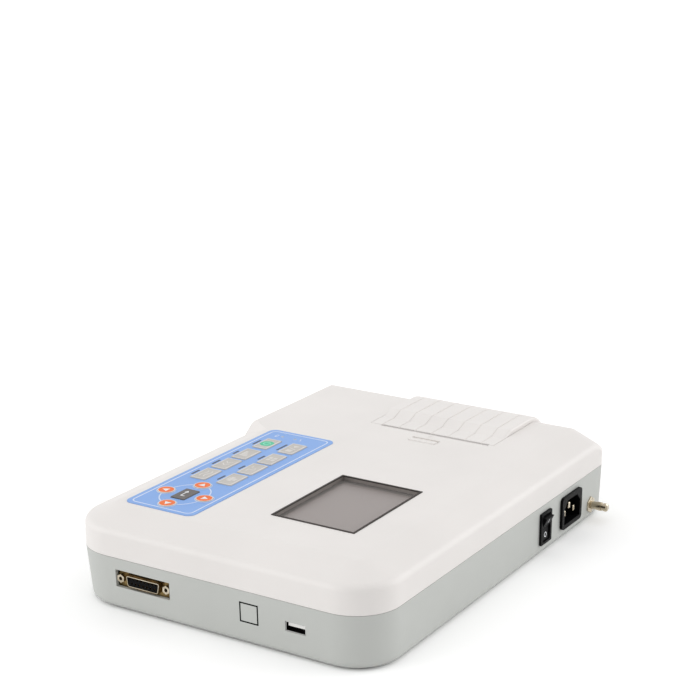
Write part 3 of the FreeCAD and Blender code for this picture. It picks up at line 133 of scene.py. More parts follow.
def mouldedPlastic(look):
    material, tree, shader, place = startMaterial(
        look["name"], {"IOR": look["ior"], "Specular IOR Level": look.get("specular", 0.5)})
    grain = addNode(tree, "ShaderNodeTexNoise", {"Scale": 1 / (look["grain"] * mm), "Detail": 2.0},
                    {"Vector": place})
    drift = addNode(tree, "ShaderNodeTexNoise", {"Scale": 1 / (look["drift"] * mm), "Detail": 3.0},
                    {"Vector": place})
    tint = addNode(tree, "ShaderNodeValToRGB", {"stops": tintStops(look)}, {"Fac": drift.outputs["Fac"]})
    gloss = addNode(tree, "ShaderNodeValToRGB", {"stops": glossStops(look)}, {"Fac": grain.outputs["Fac"]})
    bump = addNode(tree, "ShaderNodeBump", {"Strength": look["relief"], "Distance": look["depth"] * mm},
                   {"Height": grain.outputs["Fac"]})
    tree.links.new(tint.outputs["Color"], shader.inputs["Base Color"])
    tree.links.new(gloss.outputs["Color"], shader.inputs["Roughness"])
    tree.links.new(bump.outputs["Normal"], shader.inputs["Normal"])
    return material


# The grain of the mould is about 0.2 mm, too fine to show here, so it is drawn coarser
whiteAbs = mouldedPlastic({  # ABS, moulded with a spark eroded grain: matt, warm white
    "name": "whiteAbsMoulded", "colour": "#ece8e5", "shade": "#e8e4e1", "ior": 1.53,
    "grain": 0.9, "drift": 60, "roughness": (0.42, 0.56), "relief": 0.12, "depth": 0.05})
whiteAbsDoor = mouldedPlastic({  # ABS from another tool: a little smoother than the lid
    "name": "whiteAbsDoor", "colour": "#ece8e5", "shade": "#e7e3e0", "ior": 1.53,
    "grain": 0.7, "drift": 45, "roughness": (0.36, 0.48), "relief": 0.10, "depth": 0.05})
greyAbs = mouldedPlastic({  # ABS, moulded with the same grain: matt, cool light grey
    "name": "greyAbsMoulded", "colour": "#c3c5c1", "shade": "#bec0bc", "ior": 1.53,
    "grain": 0.9, "drift": 60, "roughness": (0.44, 0.58), "relief": 0.12, "depth": 0.05})
blackNylon = mouldedPlastic({  # glass filled nylon: deep black, its fibres dull the skin
    "name": "blackNylonMoulded", "colour": "#0e0e0f", "shade": "#080809", "ior": 1.53, "specular": 0.05,
    "grain": 0.5, "drift": 12, "roughness": (0.30, 0.44), "relief": 0.15, "depth": 0.05})
blackPbt = mouldedPlastic({  # PBT connector block: black, almost glossless
    "name": "blackPbtMoulded", "colour": "#0b0a0c", "shade": "#070607", "ior": 1.55, "specular": 0.06,
    "grain": 0.4, "drift": 8, "roughness": (0.45, 0.60), "relief": 0.12, "depth": 0.04})
greyFrame = mouldedPlastic({  # ABS frame round the screen, dyed dark grey: matt
    "name": "darkGreyAbsFrame", "colour": "#8a8480", "shade": "#827c78", "ior": 1.53, "specular": 0.3,
    "grain": 0.6, "drift": 20, "roughness": (0.44, 0.58), "relief": 0.10, "depth": 0.04})
brownLip = mouldedPlastic({  # the frame's front edge, pad printed brown black: dull
    "name": "brownPadPrintedLip", "colour": "#3b3532", "shade": "#35302d", "ior": 1.50, "specular": 0.2,
    "grain": 0.4, "drift": 15, "roughness": (0.46, 0.60), "relief": 0.10, "depth": 0.03})
naturalAcetal = mouldedPlastic({  # acetal: milky and slippery, with a soft gloss
    "name": "naturalAcetal", "colour": "#e6e3d8", "shade": "#dcd8cc", "ior": 1.48,
    "grain": 0.6, "drift": 20, "roughness": (0.28, 0.40), "relief": 0.08, "depth": 0.04})
bluePolyester = mouldedPlastic({  # polyester film, printed on its back: satin with a velvet emboss
    "name": "bluePolyesterFilm", "colour": "#7da9e8", "shade": "#77a3e3", "ior": 1.57,
    "grain": 0.6, "drift": 35, "roughness": (0.34, 0.46), "relief": 0.10, "depth": 0.03})
greyKeycap = mouldedPlastic({  # polycarbonate keycap, lacquered: warm grey satin
    "name": "greyPolycarbonateKey", "colour": "#c2beb9", "shade": "#bab6b1", "ior": 1.58,
    "grain": 0.5, "drift": 14, "roughness": (0.34, 0.46), "relief": 0.10, "depth": 0.03})
paleKeycap = mouldedPlastic({  # pale satin, drawn as a ring round the keycap's edge
    "name": "palePolycarbonateRim", "colour": "#dedad4", "shade": "#d5d1cb", "ior": 1.58,
    "grain": 0.5, "drift": 14, "roughness": (0.34, 0.46), "relief": 0.10, "depth": 0.03})
orangeKeycap = mouldedPlastic({  # dyed polycarbonate keycap: clean orange, satin
    "name": "orangePolycarbonateKey", "colour": "#f4711a", "shade": "#eb6613", "ior": 1.58,
    "specular": 0.3, "grain": 0.5, "drift": 9, "roughness": (0.36, 0.48), "relief": 0.08, "depth": 0.03})
darkKeycap = mouldedPlastic({  # dyed polycarbonate keycap: brown black, satin
    "name": "darkPolycarbonateKey", "colour": "#4d4644", "shade": "#453e3c", "ior": 1.58,
    "grain": 0.5, "drift": 14, "roughness": (0.32, 0.44), "relief": 0.10, "depth": 0.03})
greenInk = mouldedPlastic({  # screen printed ink: opaque green, a little raised
    "name": "greenScreenInk", "colour": "#45c79d", "shade": "#3dbd92", "ior": 1.50,
    "grain": 0.4, "drift": 6, "roughness": (0.38, 0.50), "relief": 0.10, "depth": 0.02})
paleInk = mouldedPlastic({  # white ink printed thin: the blue film shows through a little
    "name": "paleScreenInk", "colour": "#d5e1f6", "shade": "#cbd9f2", "ior": 1.50,
    "grain": 0.4, "drift": 10, "roughness": (0.38, 0.50), "relief": 0.10, "depth": 0.02})
keyInk = mouldedPlastic({  # pad printed ink on the caps: off white, dry
    "name": "paleKeyInk", "colour": "#dbd8d4", "shade": "#d3d0cc", "ior": 1.50,
    "grain": 0.4, "drift": 6, "roughness": (0.44, 0.56), "relief": 0.10, "depth": 0.02})
mintInk = mouldedPlastic({  # second pass of the green ink, mixed with white: pale green
    "name": "mintScreenInk", "colour": "#9fe3cb", "shade": "#94dac1", "ior": 1.50,
    "grain": 0.4, "drift": 6, "roughness": (0.38, 0.50), "relief": 0.10, "depth": 0.02})
whiteInk = mouldedPlastic({  # screen printed ink: opaque white
    "name": "whiteScreenInk", "colour": "#eef0f2", "shade": "#e6e8ec", "ior": 1.50,
    "grain": 0.4, "drift": 10, "roughness": (0.38, 0.50), "relief": 0.10, "depth": 0.02})
darkInk = mouldedPlastic({  # screen printed ink: opaque blue black
    "name": "darkScreenInk", "colour": "#3c4456", "shade": "#343b4c", "ior": 1.50,
    "grain": 0.4, "drift": 10, "roughness": (0.40, 0.52), "relief": 0.10, "depth": 0.02})
whitePbt = mouldedPlastic({  # PBT contact carrier: dense white
    "name": "whitePbtTongue", "colour": "#f2f1ee", "shade": "#eae9e6", "ior": 1.55,
    "grain": 0.4, "drift": 6, "roughness": (0.36, 0.48), "relief": 0.08, "depth": 0.03})
solderMask = mouldedPlastic({  # glass epoxy board under green solder mask: smooth, weave just felt
    "name": "greenSolderMask", "colour": "#1f6a3c", "shade": "#185a32", "ior": 1.55,
    "grain": 0.8, "drift": 18, "roughness": (0.22, 0.34), "relief": 0.15, "depth": 0.04})
glazedCeramic = mouldedPlastic({  # alumina print head under glass glaze: pale and slick
    "name": "glazedAlumina", "colour": "#d8d2c4", "shade": "#cdc7b9", "ior": 1.60,
    "grain": 0.6, "drift": 12, "roughness": (0.12, 0.22), "relief": 0.05, "depth": 0.03})
blackRubber = mouldedPlastic({  # nitrile rubber: dark, no gloss, dusty where it is handled
    "name": "blackNitrileRubber", "colour": "#2d2c2b", "shade": "#232221", "ior": 1.52,
    "grain": 0.6, "drift": 7, "roughness": (0.70, 0.86), "relief": 0.25, "depth": 0.06})
boardTube = mouldedPlastic({  # wound brown board tube: fibrous and dry
    "name": "brownBoardTube", "colour": "#a98c69", "shade": "#947755", "ior": 1.50,
    "grain": 0.7, "drift": 5, "roughness": (0.75, 0.90), "relief": 0.30, "depth": 0.06})
shrinkSleeve = mouldedPlastic({  # PVC shrink sleeve round the cells: glossy blue black
    "name": "darkShrinkSleeve", "colour": "#2a3140", "shade": "#232938", "ior": 1.53,
    "grain": 2.0, "drift": 25, "roughness": (0.20, 0.32), "relief": 0.15, "depth": 0.10})
screenMask = mouldedPlastic({  # grey mask printed round the screen's glass: flat grey, satin
    "name": "greyScreenMask", "colour": "#6f6966", "shade": "#696360", "ior": 1.52,
    "grain": 0.5, "drift": 12, "roughness": (0.30, 0.42), "relief": 0.05, "depth": 0.02})
print("plastics ready")


# Plated and drawn metals: long streaks from drawing or tumbling, and a worn, uneven gloss; on the nickel
# and the passivated steel the light and dark streaks are painted reflections

toolMarks = {"relief": 0.06, "depth": 0.02}


def platedMetal(look):
    material, tree, shader, place = startMaterial(look["name"], {"Metallic": 1.0})
    stretch = addNode(tree, "ShaderNodeMapping", {"Scale": look["stretch"]}, {"Vector": place})
    streak = addNode(tree, "ShaderNodeTexNoise", {"Scale": 1 / (look["streak"] * mm), "Detail": 3.0},
                     {"Vector": stretch.outputs["Vector"]})
    tint = addNode(tree, "ShaderNodeValToRGB", {"stops": tintStops(look)}, {"Fac": streak.outputs["Fac"]})
    gloss = addNode(tree, "ShaderNodeValToRGB", {"stops": glossStops(look)}, {"Fac": streak.outputs["Fac"]})
    bump = addNode(tree, "ShaderNodeBump",
                   {"Strength": toolMarks["relief"], "Distance": toolMarks["depth"] * mm},
                   {"Height": streak.outputs["Fac"]})
    tree.links.new(tint.outputs["Color"], shader.inputs["Base Color"])
    tree.links.new(gloss.outputs["Color"], shader.inputs["Roughness"])
    tree.links.new(bump.outputs["Normal"], shader.inputs["Normal"])
    return material


yellowPassivate = platedMetal({  # zinc plated steel with yellow passivate: brownish gold, darkened as painted shade, its cloudy light and dark patches painted reflections
    "name": "yellowPassivatedSteel", "colour": "#9c8558", "shade": "#4c3a1f",
    "stretch": (1, 1, 1), "streak": 4.0, "roughness": (0.24, 0.40)})
shoulderPaintedShade = platedMetal({  # the same finish in painted shade: dark brown, standing in for the shadow and dark reflection on the shell's shoulder
    "name": "passivatedSteelPaintedShade", "colour": "#5a4424", "shade": "#2c1f0e",
    "stretch": (1, 1, 1), "streak": 4.0, "roughness": (0.30, 0.46)})
nickelPlate = platedMetal({  # nickel plated brass, turned: warm bright metal, with light and dark streaks along it as painted reflections
    "name": "nickelPlatedBrass", "colour": "#d9cfbc", "shade": "#9c9079",
    "stretch": (1, 0.15, 1), "streak": 2.4, "roughness": (0.16, 0.30)})
tinPlate = platedMetal({  # tin plated steel, stamped: grey white, soft gloss
    "name": "tinPlatedSteel", "colour": "#cfcfcd", "shade": "#b2b2b0",
    "stretch": (0.2, 1, 1), "streak": 1.2, "roughness": (0.26, 0.40)})
zincPlate = platedMetal({  # zinc plated steel, cold formed: bluish grey
    "name": "zincPlatedSteel", "colour": "#bdbfc2", "shade": "#a2a5a9",
    "stretch": (1, 0.3, 1), "streak": 1.5, "roughness": (0.30, 0.46)})
bronzeContact = platedMetal({  # phosphor bronze contacts, deep in their holes: dull brown gold, darkened as painted shade of the holes
    "name": "phosphorBronzeContact", "colour": "#6e5430", "shade": "#513c20",
    "stretch": (0.2, 1, 1), "streak": 0.8, "roughness": (0.30, 0.44)})
goldContact = platedMetal({  # gold flash over copper alloy contacts: clean yellow gold
    "name": "goldFlashedContact", "colour": "#dcb56a", "shade": "#bd954c",
    "stretch": (0.2, 1, 1), "streak": 0.8, "roughness": (0.20, 0.34)})
print("metals ready")


# Paper, clear plastics and glass

def woundPaper(look):
    material, tree, shader, place = startMaterial(
        look["name"], {"IOR": look["ior"], "Roughness": look["roughness"]})
    centred = addNode(tree, "ShaderNodeMapping", {"Location": -boxMiddle("paper_roll")}, {"Vector": place})
    waveScale = pi / (10 * look["ring"] * mm)  # at a scale of 1 the rings stand pi / 10 apart
    rings = addNode(tree, "ShaderNodeTexWave",
                    {"wave_type": "RINGS", "rings_direction": "Y", "Scale": waveScale},
                    {"Vector": centred.outputs["Vector"]})
    tint = addNode(tree, "ShaderNodeValToRGB", {"stops": tintStops(look)}, {"Fac": rings.outputs["Fac"]})
    bump = addNode(tree, "ShaderNodeBump", {"Strength": look["relief"], "Distance": look["depth"] * mm},
                   {"Height": rings.outputs["Fac"]})
    tree.links.new(tint.outputs["Color"], shader.inputs["Base Color"])
    tree.links.new(bump.outputs["Normal"], shader.inputs["Normal"])
    return material


def clearAcrylic(look):
    material, tree, shader, place = startMaterial(
        look["name"],
        {"IOR": look["ior"], "Alpha": look["alpha"], "Base Color": linearColour(look["colour"])})
    haze = addNode(tree, "ShaderNodeTexNoise", {"Scale": 1 / (look["haze"] * mm), "Detail": 3.0},
                   {"Vector": place})
    gloss = addNode(tree, "ShaderNodeValToRGB", {"stops": glossStops(look)}, {"Fac": haze.outputs["Fac"]})
    tree.links.new(gloss.outputs["Color"], shader.inputs["Roughness"])
    return material


def unlitScreen(look):
    material, tree, shader, place = startMaterial(
        look["name"], {"IOR": look["ior"], "Roughness": look["roughness"]})
    cells = addNode(tree, "ShaderNodeTexBrick",
                    {"Scale": 1 / (look["cell"] * mm), "Mortar Size": look["gap"], "offset": 0.0,
                     "Brick Width": 1.0, "Row Height": 1.0, "Color1": linearColour(look["colour"]),
                     "Color2": linearColour(look["second"]), "Mortar": linearColour(look["grid"])},
                    {"Vector": place})
    tree.links.new(cells.outputs["Color"], shader.inputs["Base Color"])
    return material


def cloudyLens(look):
    material, tree, shader, place = startMaterial(
        look["name"],
        {"IOR": look["ior"], "Transmission Weight": look["clear"], "Roughness": look["roughness"]})
    cloud = addNode(tree, "ShaderNodeTexNoise", {"Scale": 1 / (look["cloud"] * mm)}, {"Vector": place})
    tint = addNode(tree, "ShaderNodeValToRGB", {"stops": tintStops(look)}, {"Fac": cloud.outputs["Fac"]})
    tree.links.new(tint.outputs["Color"], shader.inputs["Base Color"])
    return material


# Layers of paper and cells of the glass are finer than the render shows, so both are drawn coarser
thermalPaper = woundPaper({  # coated paper, wound: white, with fine rings on the ends of the roll
    "name": "coatedThermalPaper", "colour": "#f4f2ee", "shade": "#dedbd5", "ior": 1.48,
    "roughness": 0.62, "ring": 0.5, "relief": 0.2, "depth": 0.05})
acrylic = clearAcrylic({  # cast acrylic sheet: clear and glossy, with a faint haze
    "name": "clearAcrylicWindow", "colour": "#cfc9c5", "ior": 1.49, "alpha": 0.30,
    "haze": 25, "roughness": (0.08, 0.16)})
screenGlass = unlitScreen({  # liquid crystal between glass, unlit: brownish grey with a faint grid
    "name": "unlitLcdGlass", "colour": "#8a7e7b", "second": "#887c79", "grid": "#807572", "ior": 1.52,
    "roughness": 0.30, "cell": 1.0, "gap": 0.04})
lampLens = cloudyLens({  # acrylic, moulded cloudy: pale, with a soft depth
    "name": "diffusedLampLens", "colour": "#dfe6ee", "shade": "#cfd8e4", "ior": 1.50,
    "clear": 0.4, "roughness": 0.25, "cloud": 0.8})
print("paper and clear materials ready")


# Finish of every solid

finishes = {
    whiteAbs: ["top_shell", "latch_thumb", "latch_frame"],
    whiteAbsDoor: ["paper_door"],
    greyAbs: ["base_shell", "port_blank", "battery_cover"],
    bluePolyester: ["keypad_overlay"],
    greyKeycap: ["key_start_stop", "key_mode", "key_calibrate", "key_print", "key_power", "key_gain",
                 "key_speed", "key_filter"],
    orangeKeycap: ["key_up", "key_down", "key_left", "key_right"],
    darkKeycap: ["key_set"],
    lampLens: ["indicator_lenses"],
    acrylic: ["display_window"],
    screenMask: ["lcd_panel"],
    greyFrame: ["display_bezel"],
    blackNylon: ["rocker_housing", "rocker_paddle", "mains_inlet"],
    blackPbt: ["lead_socket_insulator"],
    shrinkSleeve: ["battery_pack"],
    naturalAcetal: ["paper_bin", "latch_slider", "platen_gear", "idler_gear", "paper_spindle"],
    blackRubber: ["key_mat", "platen_roller", "rubber_feet"],
    solderMask: ["key_board", "main_board", "power_board"],
    yellowPassivate: ["lead_socket_shell"],
    bronzeContact: ["lead_socket_contacts"],
    nickelPlate: ["jack_screws", "earth_stud", "earth_nut", "inlet_pins"],
    tinPlate: ["usb_shell"],
    zincPlate: ["case_screws", "board_screws", "platen_shaft", "door_hinge_pins", "latch_spring",
                "printer_frame", "drive_motor", "motor_pinion"],
    whitePbt: ["usb_tongue"],
    glazedCeramic: ["print_head"],
    thermalPaper: ["paper_roll"],
    boardTube: ["paper_core"],
}
for material, names in finishes.items():
    for name in names:
        nodes[name].data.materials.clear()
        nodes[name].data.materials.append(material)
print("solids finished:", sum(len(names) for names in finishes.values()))


# Flat shapes, drawn in millimetres round the middle of what carries them, then raised

inkHeight = 0.05
cornerFaces = 5
arcStep = 5  # degrees


def addBar(shape, x, y, width, depth, turn=0.0):
    place = Matrix.Translation((x, y, 0)) @ Matrix.Rotation(radians(turn), 4, "Z")
    size = Matrix.Diagonal((width / 2, depth / 2, 1, 1))
    made = bmesh.ops.create_grid(shape, x_segments=1, y_segments=1, size=1.0, matrix=place @ size)
    return made["verts"]


def roundCorners(shape, corners, radius):
    bmesh.ops.bevel(shape, geom=corners, offset=radius, offset_type="OFFSET", affect="VERTICES",
                    segments=cornerFaces, profile=0.5, material=-1)


def addRoundBar(shape, x, y, width, depth, radius):
    roundCorners(shape, addBar(shape, x, y, width, depth), radius)


def addTriangle(shape, x, y, radius, pointing):
    turn = Matrix.Rotation(radians(pointing - 90), 4, "Z")  # a new circle starts at its top
    bmesh.ops.create_circle(shape, cap_ends=True, segments=3, radius=radius,
                            matrix=Matrix.Translation((x, y, 0)) @ turn)


def addArc(shape, radius, width, startAngle, sweep):
    start = Matrix.Rotation(radians(startAngle), 4, "Z")
    ends = [shape.verts.new(start @ Vector((radius + side * width / 2, 0, 0))) for side in (-1, 1)]
    edge = shape.edges.new(ends)
    bmesh.ops.spin(shape, geom=ends + [edge], angle=radians(sweep), steps=int(sweep / arcStep),
                   axis=(0, 0, 1), cent=(0, 0, 0), use_merge=sweep == 360)


def keepBorder(shape, width):
    bmesh.ops.inset_region(shape, faces=shape.faces[:], thickness=width, use_even_offset=True,
                           use_boundary=True)
    middle = max(shape.faces, key=lambda face: face.calc_area())
    bmesh.ops.delete(shape, geom=[middle], context="FACES_ONLY")


def addStroke(shape, points, nib):
    half = Vector(nib) / 2
    first = Vector(points[0])
    ends = [shape.verts.new((*(first + half * side), 0)) for side in (-1, 1)]
    edge = shape.edges.new(ends)
    for before, after in zip(points, points[1:]):
        made = bmesh.ops.extrude_edge_only(shape, edges=[edge])["geom"]
        moved = [item for item in made if isinstance(item, bmesh.types.BMVert)]
        step = Vector(after) - Vector(before)
        bmesh.ops.translate(shape, verts=moved, vec=(*step, 0))
        edge = next(item for item in made if isinstance(item, bmesh.types.BMEdge)
                    and set(item.verts) == set(moved))


def wavePoints(look, y=0.0):
    shares = [step / look["steps"] for step in range(look["steps"] + 1)]
    return [((share - 0.5) * look["length"], y + look["swing"] * sin(2 * pi * share)) for share in shares]


def meshFrom(name, shape, material):
    mesh = bpy.data.meshes.new(name)
    shape.to_mesh(mesh)
    shape.free()
    mesh.materials.append(material)
    return mesh


def finishPiece(name, shape, place, material, body, height=inkHeight):
    if height:  # a shape that is solid already has none
        made = bmesh.ops.extrude_face_region(shape, geom=shape.faces[:])["geom"]
        raised = [item for item in made if isinstance(item, bmesh.types.BMVert)]
        bmesh.ops.translate(shape, verts=raised, vec=(0, 0, height))
    bmesh.ops.transform(shape, matrix=place @ Matrix.Scale(mm, 4), verts=shape.verts[:])
    bmesh.ops.recalc_face_normals(shape, faces=shape.faces[:])
    piece = addObject(name, meshFrom(name, shape, material))
    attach(piece, body)
    return piece


# Panel print: a border line, and a dash under each grey key

panelPrint = {"lineInset": 2.6, "lineWidth": 0.9, "lineCorner": 4.2,
              "dashDrop": 8.1, "dashHeight": 1.5, "dashCorner": 0.6}
padTop = topMiddle("keypad_overlay")
padPlace = Matrix.Translation(padTop)
padSize = boxSize("keypad_overlay")

line = bmesh.new()
addRoundBar(line, 0, 0, padSize.x - 2 * panelPrint["lineInset"], padSize.y - 2 * panelPrint["lineInset"],
            panelPrint["lineCorner"])
keepBorder(line, panelPrint["lineWidth"])
finishPiece("panel_border_line", line, padPlace, paleInk, "case")

dashLengths = {"key_start_stop": 12.6, "key_mode": 8.2, "key_calibrate": 7.4, "key_print": 8.6,
               "key_power": 9.4, "key_gain": 6.6, "key_speed": 8.8, "key_filter": 8.4}
dashes = bmesh.new()
for key, length in dashLengths.items():
    spot = (topMiddle(key) - padTop) / mm
    addRoundBar(dashes, spot.x, spot.y - panelPrint["dashDrop"], length, panelPrint["dashHeight"],
                panelPrint["dashCorner"])
finishPiece("panel_caption_dashes", dashes, padPlace, darkInk, "case")
print("panel outline printed")


# Ring round the arrow keys, broken where the keys stand, and a surround for each key

clusterPrint = {"ringWidth": 0.9, "keyGap": 0.25, "surround": 0.5}
keyFlange = 1.0  # under the film, all round each key
arrowKeys = {"key_up": 90, "key_down": 270, "key_left": 180, "key_right": 0}  # degrees each points to
centre = (topMiddle("key_set") - padTop) / mm
reachX = (topMiddle("key_right") - topMiddle("key_set")).x / mm
reachY = (topMiddle("key_up") - topMiddle("key_set")).y / mm
arrowRadius = boxSize("key_up").x / 2 - keyFlange
surroundOuter = arrowRadius + clusterPrint["keyGap"] + clusterPrint["surround"]

ring = bmesh.new()
sideSkip, endSkip = [degrees(asin(surroundOuter / reach)) for reach in (reachY, reachX)]
for quarter in range(4):
    skip = sideSkip if quarter % 2 == 0 else endSkip
    addArc(ring, reachX, clusterPrint["ringWidth"], 90 * quarter + skip, 90 - sideSkip - endSkip)
bmesh.ops.scale(ring, vec=(1, reachY / reachX, 1), verts=ring.verts[:])
bmesh.ops.translate(ring, vec=(centre.x, centre.y, 0), verts=ring.verts[:])
finishPiece("panel_cluster_ring", ring, padPlace, paleInk, "case")

for name in arrowKeys:
    surround = bmesh.new()
    addArc(surround, surroundOuter - clusterPrint["surround"] / 2, clusterPrint["surround"], 0, 360)
    spot = topMiddle(name)
    spot.z = padTop.z
    finishPiece(name + "_surround", surround, Matrix.Translation(spot), paleInk, "case")
print("arrow cluster printed")


# Signs beyond the two lamps: a mains wave above, a cell below

lampSign = {"away": 2.6, "length": 3.6, "swing": -0.7, "steps": 16, "nib": (0, 0.6),
            "cell": (3.6, 2.0), "nub": (0.7, 1.0), "line": 0.5}
lampLow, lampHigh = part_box("indicator_lenses")
lampX = (lampLow.x + lampHigh.x) / 2
sign = bmesh.new()
addStroke(sign, wavePoints(lampSign), lampSign["nib"])
above = Matrix.Translation((lampX, lampHigh.y + lampSign["away"] * mm, padTop.z))
finishPiece("lamp_mains_sign", sign, above, paleInk, "case")
sign = bmesh.new()
addBar(sign, 0, 0, *lampSign["cell"])
keepBorder(sign, lampSign["line"])
addBar(sign, (lampSign["cell"][0] + lampSign["nub"][0]) / 2, 0, *lampSign["nub"])
below = Matrix.Translation((lampX, lampLow.y - lampSign["away"] * mm, padTop.z))
finishPiece("lamp_cell_sign", sign, below, paleInk, "case")
print("lamp signs printed")


# Rims of the keys: a pale raised line on the grey caps, a pale collar over the arrow keys' edge

keyFace = {"edge": 0.3, "corner": 0.5, "rim": 0.8, "rimHeight": 0.12}
for name in finishes[greyKeycap]:
    rim = bmesh.new()
    width, depth = [size - 2 * (keyFlange + keyFace["edge"]) for size in boxSize(name).xy]
    addRoundBar(rim, 0, 0, width, depth, keyFace["corner"])
    keepBorder(rim, keyFace["rim"])
    finishPiece(name + "_rim", rim, Matrix.Translation(topMiddle(name)), paleKeycap, name + "_cap",
                keyFace["rimHeight"])

arrowRim = {"lap": 0.45, "wall": 0.1, "skirt": 0.8}
for name in arrowKeys:
    rim = bmesh.new()
    addArc(rim, arrowRadius + (arrowRim["wall"] - arrowRim["lap"]) / 2, arrowRim["wall"] + arrowRim["lap"],
           0, 360)
    rimPlace = Matrix.Translation(topMiddle(name) - Vector((0, 0, arrowRim["skirt"] * mm)))
    finishPiece(name + "_rim", rim, rimPlace, paleKeycap, name + "_cap",
                arrowRim["skirt"] + inkHeight)
print("key rims finished")


# Key marks: plain signs printed on the caps

def keyMark(name, shape, material=keyInk, suffix="_mark", lift=0.0):
    place = Matrix.Translation(topMiddle(name) + Vector((0, 0, lift * mm)))
    finishPiece(name + suffix, shape, place, material, name + "_cap")


startStopMark = {"arrowX": -4.4, "arrow": 2.6, "slash": (0.8, 6.0), "lean": -20,
                 "squareX": 4.2, "square": 4.0}
mark = bmesh.new()
addTriangle(mark, startStopMark["arrowX"], 0, startStopMark["arrow"], 0)
addBar(mark, 0, 0, *startStopMark["slash"], startStopMark["lean"])
addBar(mark, startStopMark["squareX"], 0, startStopMark["square"], startStopMark["square"])
keyMark("key_start_stop", mark)

modeMark = {"places": (-1.7, 1.7), "side": 2.7, "corner": 0.7}
mark = bmesh.new()
for x in modeMark["places"]:
    for y in modeMark["places"]:
        addRoundBar(mark, x, y, modeMark["side"], modeMark["side"], modeMark["corner"])
keyMark("key_mode", mark)

pulseMark = {"end": 4.6, "side": 1.6, "rise": 2.0, "nib": (0.75, 0.75)}
end, side, rise = [pulseMark[key] for key in ("end", "side", "rise")]
mark = bmesh.new()
addStroke(mark, [(-end, -rise), (-side, -rise), (-side, rise), (side, rise), (side, -rise), (end, -rise)],
          pulseMark["nib"])
keyMark("key_calibrate", mark)

printMark = {"sheet": (0, 2.0, 3.6, 2.0), "body": (0, -0.6, 7.0, 2.6), "corner": 0.5,
             "tray": (0, -2.8, 4.4, 1.0)}
mark = bmesh.new()
addBar(mark, *printMark["sheet"])
addRoundBar(mark, *printMark["body"], printMark["corner"])
addBar(mark, *printMark["tray"])
keyMark("key_print", mark)

gainMark = {"heights": (2.0, 3.2, 4.4, 5.6), "firstX": -3.3, "pitch": 2.2, "width": 1.8, "foot": -2.8}
mark = bmesh.new()
for step, tall in enumerate(gainMark["heights"]):
    addBar(mark, gainMark["firstX"] + gainMark["pitch"] * step, tall / 2 + gainMark["foot"],
           gainMark["width"], tall)
keyMark("key_gain", mark)

speedMark = {"places": (-2.6, 1.6), "tail": -1.2, "point": 1.6, "rise": 2.4, "nib": (1.2, 0)}
tail, point, rise = [speedMark[key] for key in ("tail", "point", "rise")]
mark = bmesh.new()
for x in speedMark["places"]:
    addStroke(mark, [(x + tail, -rise), (x + point, 0), (x + tail, rise)], speedMark["nib"])
keyMark("key_speed", mark)

filterMark = {"rows": (-1.5, 1.5), "length": 10.0, "swing": 0.8, "steps": 20, "nib": (0, 0.8)}
mark = bmesh.new()
for y in filterMark["rows"]:
    addStroke(mark, wavePoints(filterMark, y), filterMark["nib"])
keyMark("key_filter", mark)

powerMark = {"disc": 4.7, "sides": 40, "arc": 2.3, "line": 0.7, "gap": 60, "stem": (0, 2.0, 0.7, 2.4)}
disc = bmesh.new()
bmesh.ops.create_circle(disc, cap_ends=True, segments=powerMark["sides"], radius=powerMark["disc"])
keyMark("key_power", disc, greenInk, suffix="_disc")
mark = bmesh.new()
addArc(mark, powerMark["arc"], powerMark["line"], 90 + powerMark["gap"] / 2, 360 - powerMark["gap"])
addBar(mark, *powerMark["stem"])
keyMark("key_power", mark, mintInk, lift=inkHeight)

arrowMark = {"radius": 2.7}
for name in sorted(arrowKeys, key=arrowKeys.get):
    mark = bmesh.new()
    addTriangle(mark, 0, 0, arrowMark["radius"], arrowKeys[name])
    keyMark(name, mark, whiteInk)

returnMark = {"line": [(3.4, 1.9), (3.4, -0.8), (-2.2, -0.8)], "nib": (0.75, -0.75),
              "head": (-3.2, -0.8, 1.7, 180)}
mark = bmesh.new()
addStroke(mark, returnMark["line"], returnMark["nib"])
addTriangle(mark, *returnMark["head"])
keyMark("key_set", mark, whiteInk)
print("key marks printed")


# Screen: a dark lip on the frame's edge, and the live area just proud of the printed mask

screenLook = {"lipWidth": 1.3, "lipHeight": 0.6, "margin": 2.4, "glassHeight": 0.06}
frameSize = boxSize("display_bezel")
frameTop = topMiddle("display_bezel")
lip = bmesh.new()
addBar(lip, 0, 0, frameSize.x, frameSize.y)
keepBorder(lip, screenLook["lipWidth"])
finishPiece("screen_edge_lip", lip, Matrix.Translation(frameTop), brownLip, "case",
            screenLook["lipHeight"])

live = bmesh.new()
addBar(live, 0, 0, frameSize.x - 2 * screenLook["margin"], frameSize.y - 2 * screenLook["margin"])
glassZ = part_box("lcd_panel")[1].z - screenLook["glassHeight"] / 2 * mm
livePlace = Matrix.Translation((frameTop.x, frameTop.y, glassZ))
finishPiece("lcd_live_area", live, livePlace, screenGlass, "case", screenLook["glassHeight"])
print("screen finished")


# Switch signs, printed on the two slopes of the paddle

switchSign = {"reach": 4.8, "ring": 1.5, "line": 0.55, "bar": 3.2, "behind": 10.0}
paddleMiddle = boxMiddle("rocker_paddle")
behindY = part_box("rocker_paddle")[1].y + switchSign["behind"] * mm
ring = bmesh.new()
addArc(ring, switchSign["ring"], switchSign["line"], 0, 360)
bar = bmesh.new()
addBar(bar, 0, 0, switchSign["line"], switchSign["bar"])
for name, sign, side in (("switch_off_ring", ring, -1), ("switch_on_bar", bar, 1)):
    start = (paddleMiddle.x, behindY, paddleMiddle.z + side * switchSign["reach"] * mm)
    signPlace = onFace("rocker_paddle", start, (0, -1, 0))
    finishPiece(name, sign, signPlace, whiteInk, "rocker")
print("switch signs printed")


# Earth post: a thin hexagon on the outside of the wall, and the lock nut inside it

